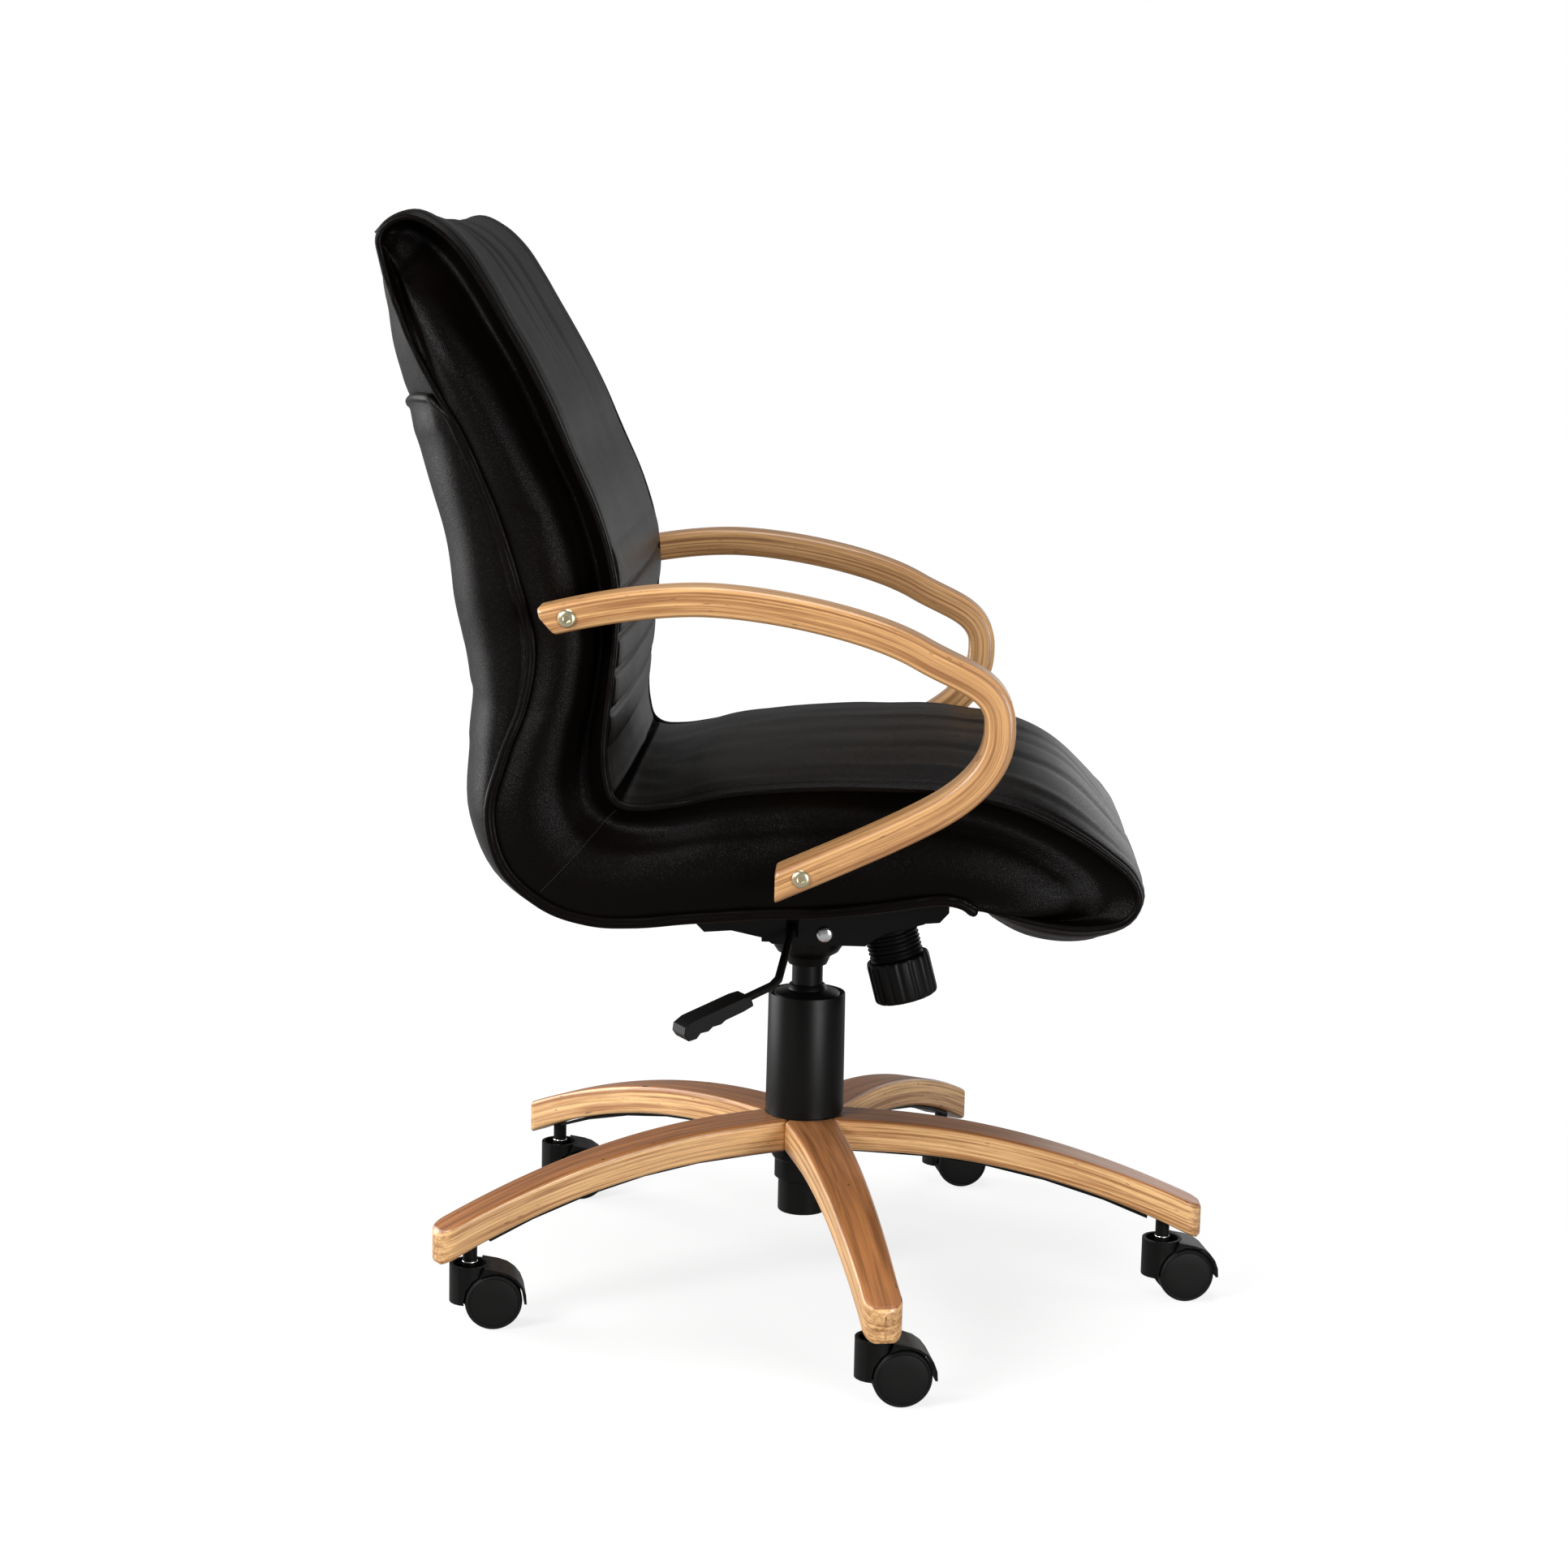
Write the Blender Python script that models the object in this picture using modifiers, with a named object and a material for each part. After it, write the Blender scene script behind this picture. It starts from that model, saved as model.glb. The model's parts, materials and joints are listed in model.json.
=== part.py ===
# Executive office chair: five-leg laminated base on twin-wheel casters, gas lift,
# centre-tilt mechanism, one-piece upholstered seat and back, and two bentwood loop arms.
# Units are metres. +Z is up, the sitter faces -Y, and the swivel axis stands at X = Y = 0 on the floor.
# Side outlines are pairs (forward, height): forward runs towards -Y.

import math

import bmesh
import bpy
from mathutils import Matrix, Vector
from mathutils.geometry import interpolate_bezier

# Clearances
touch_gap = 0.0003
running_gap = 0.0005

# Casters
wheel_radius = 0.025
wheel_width = 0.0128
wheel_bore_radius = 0.0032
wheel_edge_round = 0.004
caster_trail = 0.020
caster_turn_deg = 10.0
web_half_thickness = 0.0068
hood_wall = 0.0022
hood_clearance = 0.0015
socket_radius = 0.018
socket_rise = 0.031
socket_wall = 0.003
socket_recess_depth = 0.006
stem_radius = 0.0054
stem_sleeve_radius = 0.0063
stem_ring_radius = 0.0070
stem_ring_height = 0.0016
stem_reveal = 0.0030
stem_insertion = 0.024
stem_engagement = 0.020

# Star base
leg_count = 5
first_leg_deg = 5.7
leg_reach = 0.3635
stem_from_tip = 0.0335
leg_root_half_width = 0.0245
leg_tip_half_width = 0.0165
leg_tip_round = 0.016
leg_tip_height = 0.031
leg_top_rise = 0.065
leg_top_flat_radius = 0.060
leg_under_rise = 0.067
leg_under_flat_radius = 0.080
leg_edge_round = 0.003
leg_spans = 5
leg_side_gap = 0.0004
strip_thickness = 0.003
strip_half_width = 0.012
strip_end_from_stem = 0.014
hub_radius = 0.029
hub_wall = 0.0037
hub_drop = 0.032
hub_foot_radius = 0.0262

# Gas lift and its three-stage cover
tube_radius = 0.025
tube_foot_radius = 0.0225
tube_foot_length = 0.064
tube_top_below_cover = 0.006
gas_cylinder_radius = 0.014
piston_rod_radius = 0.005
lift_stroke = 0.110
cover_height = 0.112
cover_radius_top = 0.0350
cover_radius_foot = 0.0358
cover_wall = 0.0014
cover_stage_step = 0.0030
collar_height = 0.008
neck_length = 0.0265
cup_depth = 0.034
valve_radius = 0.004
valve_height = 0.009
valve_travel = 0.0024

# Tilt mechanism
pivot_forward = 0.016
pivot_above_cup_mouth = 0.0462
pivot_pin_radius = 0.005
pivot_head_radius = 0.0072
pivot_head_height = 0.003
housing_half_width = 0.071
housing_rear_reach = 0.040
housing_belly_drop = 0.012
housing_rim_rise = 0.013
housing_step = 0.008
housing_wall = 0.003
cup_mouth_radius = 0.0175
cup_body_radius = 0.034
lever_axis_forward = -0.013
lever_axis_rise = 0.002
lever_rod_radius = 0.0038
lever_bush_radius = 0.0065
lever_pull_travel = 0.008
plate_half_width = 0.088
plate_thickness = 0.003
plate_screw_radius = 0.003
plate_screw_head_radius = 0.006
plate_screw_head_height = 0.0035
plate_screw_bite = 0.0085
recline_deg = 12.0

# Tilt tension knob, on a draw bolt that leans forwards at its foot
bolt_lean_deg = 15.0
knob_rim_forward = 0.081
knob_rim_below_pivot = 0.0375
knob_radius = 0.029
knob_length = 0.039
knob_wall = 0.0035
knob_floor = 0.004
knob_hub_radius = 0.009
knob_hub_height = 0.012
knob_flutes = 16
knob_flute_depth = 0.0012
bolt_radius = 0.005
sleeve_radius = 0.0246
sleeve_wall = 0.0026
sleeve_rib_pitch = 0.0038
sleeve_rib_depth = 0.0012
sleeve_overlap = 0.012
sleeve_flange = 0.0022
knob_adjustment = 0.004
spring_radius = 0.0165
spring_wire_radius = 0.0022
spring_turns = 6
spring_washer_radius = 0.020
spring_washer_thickness = 0.002

# Seat shell and upholstery
seam_half_width = 0.232
gusset_puff = 0.009
cover_inset = 0.002
shell_inset = 0.036
shell_half_width = seam_half_width - shell_inset
shell_thickness = 0.0095
rail_thickness = 0.004
rail_depth = 0.048
channel_radius = 0.007
channel_depth = 0.0028

# Arms
arm_to_pad = 0.0025
arm_inner_face = seam_half_width + gusset_puff + arm_to_pad
arm_width = 0.042
arm_thickness = 0.0248
arm_edge_round = 0.005
arm_screw_radius = 0.004
arm_screw_head_radius = 0.0075
arm_screw_head_height = 0.0032
hex_recess_radius = 0.0028
hex_recess_depth = 0.002

# Places along a leg that follow from its reach
stem_circle_radius = leg_reach - stem_from_tip
strip_end_radius = stem_circle_radius - strip_end_from_stem
leg_span = (stem_circle_radius - leg_top_flat_radius) / leg_spans
leg_stations = [leg_top_flat_radius + leg_span * station for station in range(leg_spans + 1)]

# Heights that follow from the sizes above, floor upwards
axle_height = wheel_radius
socket_top = axle_height + socket_rise
leg_tip_under = socket_top + stem_reveal + touch_gap
leg_tip_top = leg_tip_under + leg_tip_height
leg_root_top = leg_tip_top + leg_top_rise
leg_root_under = leg_tip_under + leg_under_rise
cover_foot = leg_root_top + touch_gap
cover_top = cover_foot + cover_height
cup_mouth = cover_top + neck_length
cylinder_top = cup_mouth + cup_depth
pivot_height = cup_mouth + pivot_above_cup_mouth
lever_axis_height = pivot_height + lever_axis_rise
bolt_lean = math.radians(bolt_lean_deg)

# Side outlines of the seat and back: (forward, height above the tilt pivot)
front_seam = [
    (-0.326, 0.618), (-0.301, 0.598), (-0.274, 0.562), (-0.2165, 0.459), (-0.210, 0.446), (-0.172, 0.361),
    (-0.161, 0.295), (-0.165, 0.235), (-0.169, 0.180), (-0.163, 0.146), (-0.138, 0.133), (-0.095, 0.139),
    (0.015, 0.1535), (0.140, 0.149), (0.205, 0.127), (0.254, 0.101), (0.286, 0.078),
]
rear_seam = [
    (-0.352, 0.611), (-0.354, 0.582), (-0.345, 0.554), (-0.2965, 0.4585), (-0.2925, 0.4505), (-0.254, 0.366),
    (-0.231, 0.300), (-0.227, 0.245), (-0.241, 0.190), (-0.257, 0.128), (-0.238, 0.074), (-0.186, 0.045),
    (-0.105, 0.0430), (0.000, 0.0530), (0.142, 0.0665), (0.205, 0.044), (0.262, 0.042),
]
# How far the upholstery stands proud of the front and rear seams at the middle of the chair's width
front_crown = [0.004] * 9 + [0.010, 0.014, 0.018, 0.020, 0.020, 0.018, 0.012, 0.006]
rear_crown = [0.010, 0.018, 0.026, 0.048] + [0.006] * 11 + [0.016, 0.012]
# The outer cover spans these stations of the rear seam and bulges this far behind it
cover_first_station = 4
cover_last_station = 14
cover_bulge = [0.055, 0.074, 0.083, 0.080, 0.061, 0.043, 0.055, 0.056, 0.036, 0.027, 0.018]
# The shell and the side rails run from one station to a share of the way past another
shell_first_station = 4.25
shell_last_station = 13.72
rail_first_station = 5
rail_last_station = 13.35
lumbar_channels = [0.311, 0.276, 0.246, 0.213]

# Bentwood arm centre line, with Bezier handles (point, handle before, handle after)
arm_path = [
    ((-0.2155, 0.2920), (-0.2300, 0.2880), (-0.1750, 0.3030)),
    ((-0.0850, 0.3120), (-0.1250, 0.3122), (-0.0350, 0.3118)),
    ((0.0920, 0.2730), (0.0500, 0.2965), (0.1270, 0.2535)),
    ((0.1570, 0.2145), (0.1575, 0.2505), (0.1580, 0.1855)),
    ((0.1050, 0.1420), (0.1396, 0.1620), (0.0660, 0.1195)),
    ((-0.0360, 0.0740), (0.0047, 0.0931), (-0.0500, 0.0670)),
]
arm_foot_cut = -0.0225
arm_rear_screw = (-0.194, 0.2965)
arm_foot_screw = (-0.001, 0.0885)

# Pressed seat plate: its lower edge, front to back
plate_front = 0.125
plate_rear = -0.097
plate_edge = [
    (0.125, 0.022), (0.117, 0.013), (0.096, 0.011), (0.076, 0.006), (0.061, -0.003), (0.052, -0.010),
    (-0.030, -0.010), (-0.037, -0.005), (-0.066, 0.001), (-0.090, -0.001), (-0.097, 0.006),
]
plate_screw_places = [(0.105, 0.060), (-0.075, 0.060)]

# Release lever: (X, forward, height above the lever's axis)
lever_path = [
    (0.014, 0.0, 0.0), (-0.100, 0.0, 0.0), (-0.112, -0.001, -0.002), (-0.172, -0.008, -0.024),
    (-0.180, -0.013, -0.028), (-0.199, -0.046, -0.041),
]
paddle_length = 0.068
paddle_width = 0.024
paddle_outline = [
    (0.000, -0.0045), (0.000, 0.0045), (0.010, 0.0060), (0.056, 0.0065), (0.065, 0.0040), (0.068, -0.0020),
    (0.066, -0.0085), (0.058, -0.0095), (0.053, -0.0065), (0.046, -0.0080), (0.041, -0.0060),
    (0.033, -0.0072), (0.028, -0.0055), (0.010, -0.0055),
]

side_view = Matrix(((0, 0, -1), (-1, 0, 0), (0, 1, 0))).to_4x4()

for old in list(bpy.data.objects):
    bpy.data.objects.remove(old)

chair_collection = bpy.data.collections.new("office_chair")
cutter_collection = bpy.data.collections.new("cutters")
bpy.context.scene.collection.children.link(chair_collection)
bpy.context.scene.collection.children.link(cutter_collection)
cutter_collection.hide_render = True


# Materials


def material(name, color, roughness, metallic=0.0):
    made = bpy.data.materials.new(name)
    made.use_nodes = True
    made.diffuse_color = (*color, 1.0)
    shader = made.node_tree.nodes["Principled BSDF"]
    shader.inputs["Base Color"].default_value = (*color, 1.0)
    shader.inputs["Roughness"].default_value = roughness
    shader.inputs["Metallic"].default_value = metallic
    return made


leather = material("black_leather", (0.018, 0.016, 0.015), 0.42)
leg_wood = material("laminated_leg_wood", (0.62, 0.40, 0.20), 0.35)
arm_wood = material("laminated_arm_wood", (0.58, 0.35, 0.15), 0.32)
black_steel = material("black_powder_coat", (0.012, 0.012, 0.012), 0.45, 0.3)
black_plastic = material("black_plastic", (0.014, 0.014, 0.014), 0.5)
zinc = material("zinc_plated_steel", (0.72, 0.70, 0.62), 0.28, 1.0)
steel = material("bright_steel", (0.60, 0.60, 0.60), 0.3, 1.0)
plywood = material("shell_plywood", (0.55, 0.42, 0.26), 0.6)


# Modelling helpers


def place(obj, collection=chair_collection):
    collection.objects.link(obj)
    return obj


def mesh_object(name, bm, surface=None):
    mesh = bpy.data.meshes.new(name)
    bm.to_mesh(mesh)
    bm.free()
    if surface is not None:
        mesh.materials.append(surface)
    return place(bpy.data.objects.new(name, mesh))


def smooth(obj, sharp_deg=35.0):
    obj.data.shade_smooth()
    obj.data.set_sharp_from_angle(angle=math.radians(sharp_deg))
    return obj


def turned(name, profile, surface, steps=24):
    """A profile of (radius, height) turned about Z. It runs down the outer side and up the inner side."""
    mesh = bpy.data.meshes.new(name)
    on_axis = profile[0][0] < 1e-6
    edges = [(i, i + 1) for i in range(len(profile) - 1)]
    if not on_axis:
        edges.append((len(profile) - 1, 0))
    mesh.from_pydata([(r, 0, z) for r, z in profile], edges, [])
    mesh.materials.append(surface)
    obj = place(bpy.data.objects.new(name, mesh))
    screw = obj.modifiers.new("turn", "SCREW")
    screw.steps = steps
    screw.render_steps = steps
    screw.use_merge_vertices = True
    screw.merge_threshold = 0.00001
    screw.use_smooth_shade = True
    return obj


def box(name, low, high, surface=None):
    bm = bmesh.new()
    bmesh.ops.create_cube(bm, size=1.0)
    size = Vector(high) - Vector(low)
    middle = (Vector(high) + Vector(low)) / 2
    bmesh.ops.scale(bm, vec=size, verts=bm.verts)
    bmesh.ops.translate(bm, vec=middle, verts=bm.verts)
    return mesh_object(name, bm, surface)


def rod(name, start, end, radius, surface=None, segments=16):
    """A cylinder from start to end."""
    start = Vector(start)
    along = Vector(end) - start
    bm = bmesh.new()
    bmesh.ops.create_cone(
        bm, cap_ends=True, segments=segments, radius1=radius, radius2=radius, depth=along.length
    )
    turn = along.to_track_quat("Z", "Y").to_matrix().to_4x4()
    bmesh.ops.transform(bm, matrix=Matrix.Translation(start + along / 2) @ turn, verts=bm.verts)
    return mesh_object(name, bm, surface)


def meshed(obj):
    """The same object with its modifiers and curve settings worked out into a plain closed mesh."""
    bpy.context.view_layer.update()
    graph = bpy.context.evaluated_depsgraph_get()
    mesh = bpy.data.meshes.new_from_object(obj.evaluated_get(graph))
    bm = bmesh.new()
    bm.from_mesh(mesh)
    bmesh.ops.remove_doubles(bm, verts=bm.verts, dist=0.000005)
    bmesh.ops.recalc_face_normals(bm, faces=bm.faces)
    bm.to_mesh(mesh)
    bm.free()
    name = obj.name
    matrix = obj.matrix_world.copy()
    collection = obj.users_collection[0]
    bpy.data.objects.remove(obj)
    made = bpy.data.objects.new(name, mesh)
    made.matrix_world = matrix
    mesh.name = name
    return place(made, collection)


def side_prism(name, outline, low_x, high_x, surface=None):
    """A flat outline of (forward, height) with its thickness along X, between low_x and high_x."""
    curve = bpy.data.curves.new(name, "CURVE")
    curve.dimensions = "2D"
    curve.fill_mode = "BOTH"
    curve.extrude = (high_x - low_x) / 2
    spline = curve.splines.new("POLY")
    spline.points.add(len(outline) - 1)
    for point, (forward, height) in zip(spline.points, outline):
        point.co = (forward, height, 0, 1)
    spline.use_cyclic_u = True
    if surface is not None:
        curve.materials.append(surface)
    obj = place(bpy.data.objects.new(name, curve))
    obj.matrix_world = Matrix.Translation(((low_x + high_x) / 2, 0, 0)) @ side_view
    return meshed(obj)


def swept(name, points, radius, surface, bevel_resolution=2):
    """A round rod or wire along points."""
    curve = bpy.data.curves.new(name, "CURVE")
    curve.dimensions = "3D"
    curve.bevel_depth = radius
    curve.bevel_resolution = bevel_resolution
    curve.use_fill_caps = True
    spline = curve.splines.new("POLY")
    spline.points.add(len(points) - 1)
    for point, co in zip(spline.points, points):
        point.co = (*co, 1)
    curve.materials.append(surface)
    return place(bpy.data.objects.new(name, curve))


def boolean(obj, operation, other):
    other.hide_render = True
    other.display_type = "WIRE"
    for collection in list(other.users_collection):
        collection.objects.unlink(other)
    cutter_collection.objects.link(other)
    modifier = obj.modifiers.new(operation.lower(), "BOOLEAN")
    modifier.operation = operation
    modifier.object = other
    modifier.solver = "EXACT"
    return obj


def cut(obj, *others):
    for other in others:
        boolean(obj, "DIFFERENCE", other)
    return obj


def join(obj, *others):
    for other in others:
        boolean(obj, "UNION", other)
    return obj


def bevel(obj, width, segments=1, limit_deg=40.0):
    modifier = obj.modifiers.new("bevel", "BEVEL")
    modifier.width = width
    modifier.segments = segments
    modifier.limit_method = "ANGLE"
    modifier.angle_limit = math.radians(limit_deg)
    return obj


def joint_empty(name, place_at, parent=None):
    empty = place(bpy.data.objects.new(name, None))
    empty.empty_display_size = 0.03
    empty.location = place_at
    if parent is not None:
        bpy.context.view_layer.update()
        empty.parent = parent
        empty.matrix_parent_inverse = parent.matrix_world.inverted()
    return empty


def carry(empty, *pieces):
    """Parents pieces to the empty on their joint's axis and leaves them where they are."""
    bpy.context.view_layer.update()
    for piece in pieces:
        piece.parent = empty
        piece.matrix_parent_inverse = empty.matrix_world.inverted()


def at(x, forward, height):
    return Vector((x, -forward, height))


def offset_path(points, distance):
    """The path moved sideways: positive towards the sitter's side of an outline that runs top to front."""
    moved = []
    for i, point in enumerate(points):
        before = points[max(i - 1, 0)]
        after = points[min(i + 1, len(points) - 1)]
        along = Vector((after[0] - before[0], after[1] - before[1])).normalized()
        moved.append((point[0] - along.y * distance, point[1] + along.x * distance))
    return moved


def above_pivot(points):
    return [(forward, height + pivot_height) for forward, height in points]


# Joint axes

base_joint = joint_empty("base", (0, 0, 0))
cover_joint = joint_empty("cover_slide", (0, 0, cover_foot), base_joint)
lift_joint = joint_empty("lift_slide", (0, 0, cup_mouth), base_joint)
swivel_joint = joint_empty("seat_swivel", (0, 0, cup_mouth), lift_joint)
tilt_joint = joint_empty("seat_tilt", at(0, pivot_forward, pivot_height), swivel_joint)
lever_joint = joint_empty("lever_lift", at(0, lever_axis_forward, lever_axis_height), swivel_joint)


# Casters: a socketed hood swivels on the stem, and two wheels turn on the hood's axle


def leg_angle(index):
    return math.radians(first_leg_deg + index * 360.0 / leg_count)


def leg_direction(index):
    angle = leg_angle(index)
    return Vector((-math.sin(angle), -math.cos(angle), 0))


def caster_frame(index):
    """Local X runs along the trail and local Y across the wheels, from the floor under the stem."""
    foot = leg_direction(index) * stem_circle_radius
    turn = Matrix.Rotation(math.radians(caster_turn_deg - 90.0), 4, "Z")
    return Matrix.Translation(foot) @ turn


def wheel_profile():
    rim = wheel_radius
    edge = wheel_edge_round
    face = wheel_width
    axle_end = face - 0.004
    return [
        (0, face), (rim - 2 * edge, face - 0.0006), (rim - edge / 2, face - edge / 2),
        (rim, face - edge * 1.3),
        (rim, 0), (wheel_bore_radius, 0), (wheel_bore_radius, axle_end), (0, axle_end),
    ]


def hood_outline():
    """The web between the wheels, seen from the side: the socket's back, then round the axle."""
    web_radius = wheel_radius - 0.004
    points = [(-socket_radius + 0.002, socket_top - 0.010), (-socket_radius + 0.002, axle_height + 0.006)]
    for step in range(7):
        angle = math.radians(-125 + step * 215 / 6)
        points.append(
            (caster_trail + web_radius * math.cos(angle), axle_height + web_radius * math.sin(angle))
        )
    return points


def hood_band():
    """The arched cover over the wheels: an arc round the axle, from the socket's top to the lip in front."""
    inner = wheel_radius + hood_clearance
    outer = inner + hood_wall
    steps = 7
    angles = [math.radians(-4 + i * 116 / steps) for i in range(steps + 1)]
    ring = [(caster_trail + outer * math.cos(a), axle_height + outer * math.sin(a)) for a in angles]
    back = [(caster_trail + inner * math.cos(a), axle_height + inner * math.sin(a)) for a in reversed(angles)]
    crest = (socket_radius - 0.006, socket_top)
    return ring[:-2] + [crest, (socket_radius - 0.010, socket_top - 0.008)] + back[1:]


def local_prism(name, outline, low_y, high_y, surface=None):
    """An outline of (local X, height) with its thickness along local Y."""
    obj = side_prism(name, outline, low_y, high_y, surface)
    obj.matrix_world = Matrix.Rotation(math.radians(90), 4, "Z") @ obj.matrix_world
    return obj


def make_hood_mesh():
    half_track = web_half_thickness + touch_gap + wheel_width
    hood = rod("hood", (0, 0, axle_height - 0.003), (0, 0, socket_top), socket_radius, black_plastic, 20)
    well_floor = socket_top - socket_recess_depth
    wells = [
        rod("wheel_well", (caster_trail, side * web_half_thickness, axle_height),
            (caster_trail, side * (half_track + 0.01), axle_height), wheel_radius + hood_clearance, None, 16)
        for side in (-1, 1)
    ]
    cut(hood, *wells)
    join(hood, local_prism("web", hood_outline(), -web_half_thickness, web_half_thickness))
    join(hood, local_prism("cover_arch", hood_band(), -half_track, half_track))
    axle_end = web_half_thickness + touch_gap + wheel_width - 0.004 - touch_gap
    join(hood, rod("axle", (caster_trail, -axle_end, axle_height), (caster_trail, axle_end, axle_height),
                   wheel_bore_radius - running_gap / 2, None, 12))
    cut(
        hood,
        rod("recess", (0, 0, well_floor), (0, 0, socket_top + 0.01), socket_radius - socket_wall, None, 16),
    )
    bore_foot = well_floor - stem_engagement - touch_gap
    cut(
        hood,
        rod("stem_bore", (0, 0, bore_foot), (0, 0, socket_top + 0.01), stem_radius + touch_gap, None, 12),
    )
    done = meshed(hood)
    smooth(done)
    mesh = done.data
    bpy.data.objects.remove(done)
    return mesh


def make_casters():
    hood_mesh = make_hood_mesh()
    wheel = turned("wheel", wheel_profile(), black_plastic, 16)
    wheel_mesh = smooth(meshed(wheel)).data
    bpy.data.objects.remove(bpy.data.objects["wheel"])
    well_floor = socket_top - socket_recess_depth
    ring_foot = socket_top + 0.0008
    sleeve_foot = ring_foot + stem_ring_height
    stem_top = leg_under(stem_circle_radius) + stem_insertion
    stem_profile = [
        (0, stem_top), (stem_sleeve_radius, stem_top - 0.001), (stem_sleeve_radius, sleeve_foot),
        (stem_ring_radius, sleeve_foot - 0.0004), (stem_ring_radius, ring_foot), (stem_radius, ring_foot),
        (stem_radius, well_floor - stem_engagement), (0, well_floor - stem_engagement),
    ]
    for index in range(leg_count):
        frame = caster_frame(index)
        number = index + 1
        stem = turned(f"caster_stem_{number}", stem_profile, steel, 10)
        stem.matrix_world = frame
        carry(base_joint, stem)
        joint = joint_empty(f"caster_swivel_{number}", frame.translation, base_joint)
        hood = place(bpy.data.objects.new(f"caster_hood_{number}", hood_mesh))
        hood.matrix_world = frame
        carry(joint, hood)
        axle_at = frame @ Vector((caster_trail, 0, axle_height))
        for side, word in ((1, "left"), (-1, "right")):
            spin = joint_empty(f"wheel_spin_{number}_{word}", axle_at, joint)
            made = place(bpy.data.objects.new(f"caster_wheel_{number}_{word}", wheel_mesh))
            lay = Matrix.Rotation(math.radians(-90 * side), 4, "X")
            inner_face = web_half_thickness + touch_gap
            made.matrix_world = (
                frame @ Matrix.Translation((caster_trail, side * inner_face, axle_height)) @ lay
            )
            carry(spin, made)


# Star base: laminated legs mitred round a steel hub, on steel strips


def leg_top(radius):
    drop = leg_top_rise / (leg_reach - leg_top_flat_radius) ** 2
    return leg_root_top - drop * max(radius - leg_top_flat_radius, 0) ** 2


def leg_under(radius):
    drop = leg_under_rise / (leg_reach - leg_under_flat_radius) ** 2
    return leg_root_under - drop * max(radius - leg_under_flat_radius, 0) ** 2


def leg_half_width(radius):
    """Mitred at 36 degrees against its neighbours, then a straight taper, then a rounded tip."""
    mitre = radius * math.tan(math.pi / leg_count) - leg_side_gap
    share = min(max(radius / stem_circle_radius, 0), 1)
    taper = leg_root_half_width + (leg_tip_half_width - leg_root_half_width) * share
    past = max(radius - (leg_reach - leg_tip_round), 0) / leg_tip_round
    tip = taper * math.sqrt(max(1 - 0.92 * past**2, 0.05))
    return min(mitre, taper, tip)


def make_leg(index):
    mitre_end = leg_root_half_width / math.tan(math.pi / leg_count)
    tip_start = leg_reach - leg_tip_round
    stations = [hub_radius - 0.006, mitre_end] + leg_stations
    stations += [tip_start + leg_tip_round * share for share in (0, 0.45, 0.8, 1.0)]
    bm = bmesh.new()
    rings = []
    for radius in stations:
        half = leg_half_width(radius)
        corners = [
            (-half, leg_top(radius)), (half, leg_top(radius)), (half, leg_under(radius)),
            (-half, leg_under(radius)),
        ]
        rings.append([bm.verts.new((across, -radius, height)) for across, height in corners])
    for near, far in zip(rings, rings[1:]):
        for i in range(4):
            bm.faces.new((near[i], near[(i + 1) % 4], far[(i + 1) % 4], far[i]))
    bm.faces.new(list(reversed(rings[0])))
    bm.faces.new(rings[-1])
    bmesh.ops.recalc_face_normals(bm, faces=bm.faces)
    leg = mesh_object(f"leg_{index + 1}", bm, leg_wood)
    bevel(leg, leg_edge_round, 2)
    hub_cut = rod(
        "hub_cut", (0, 0, leg_root_under - 0.02), (0, 0, leg_root_top + 0.02), hub_radius + touch_gap,
        None, 30,
    )
    hole_top = leg_under(stem_circle_radius) + stem_insertion + touch_gap
    stem_cut = rod(
        "stem_cut", (0, -stem_circle_radius, 0), (0, -stem_circle_radius, hole_top),
        stem_sleeve_radius + touch_gap, None, 12,
    )
    cut(leg, hub_cut, stem_cut)
    leg = smooth(meshed(leg))
    leg.matrix_world = Matrix.Rotation(-leg_angle(index), 4, "Z")
    carry(base_joint, leg)


def make_hub():
    hub_top = leg_root_top - 0.003
    hub_foot = leg_root_under - hub_drop
    step = leg_root_under - strip_thickness - 0.009
    bore = tube_radius + touch_gap
    foot_bore = tube_foot_radius + touch_gap
    hub = turned(
        "base_hub",
        [
            (hub_radius, hub_top), (hub_radius, step), (hub_foot_radius, step - 0.003),
            (hub_foot_radius, hub_foot),
            (foot_bore, hub_foot), (foot_bore, hub_foot + 0.012), (bore, hub_foot + 0.030), (bore, hub_top),
        ],
        black_steel,
        30,
    )
    last, tip = leg_stations[-2:]
    share = (strip_end_radius - last) / (tip - last)
    end_height = leg_under(last) * (1 - share) + leg_under(tip) * share
    upper = [
        (radius, leg_under(radius) - touch_gap) for radius in [hub_radius - hub_wall / 3] + leg_stations[:-1]
    ]
    upper.append((strip_end_radius, end_height - touch_gap))
    lower = [(radius, height - strip_thickness) for radius, height in reversed(upper)]
    for index in range(leg_count):
        strip = side_prism("strip", upper + lower, -strip_half_width, strip_half_width)
        strip.matrix_world = Matrix.Rotation(-leg_angle(index), 4, "Z") @ strip.matrix_world
        join(hub, strip)
    carry(base_joint, hub)


# Gas lift


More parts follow.
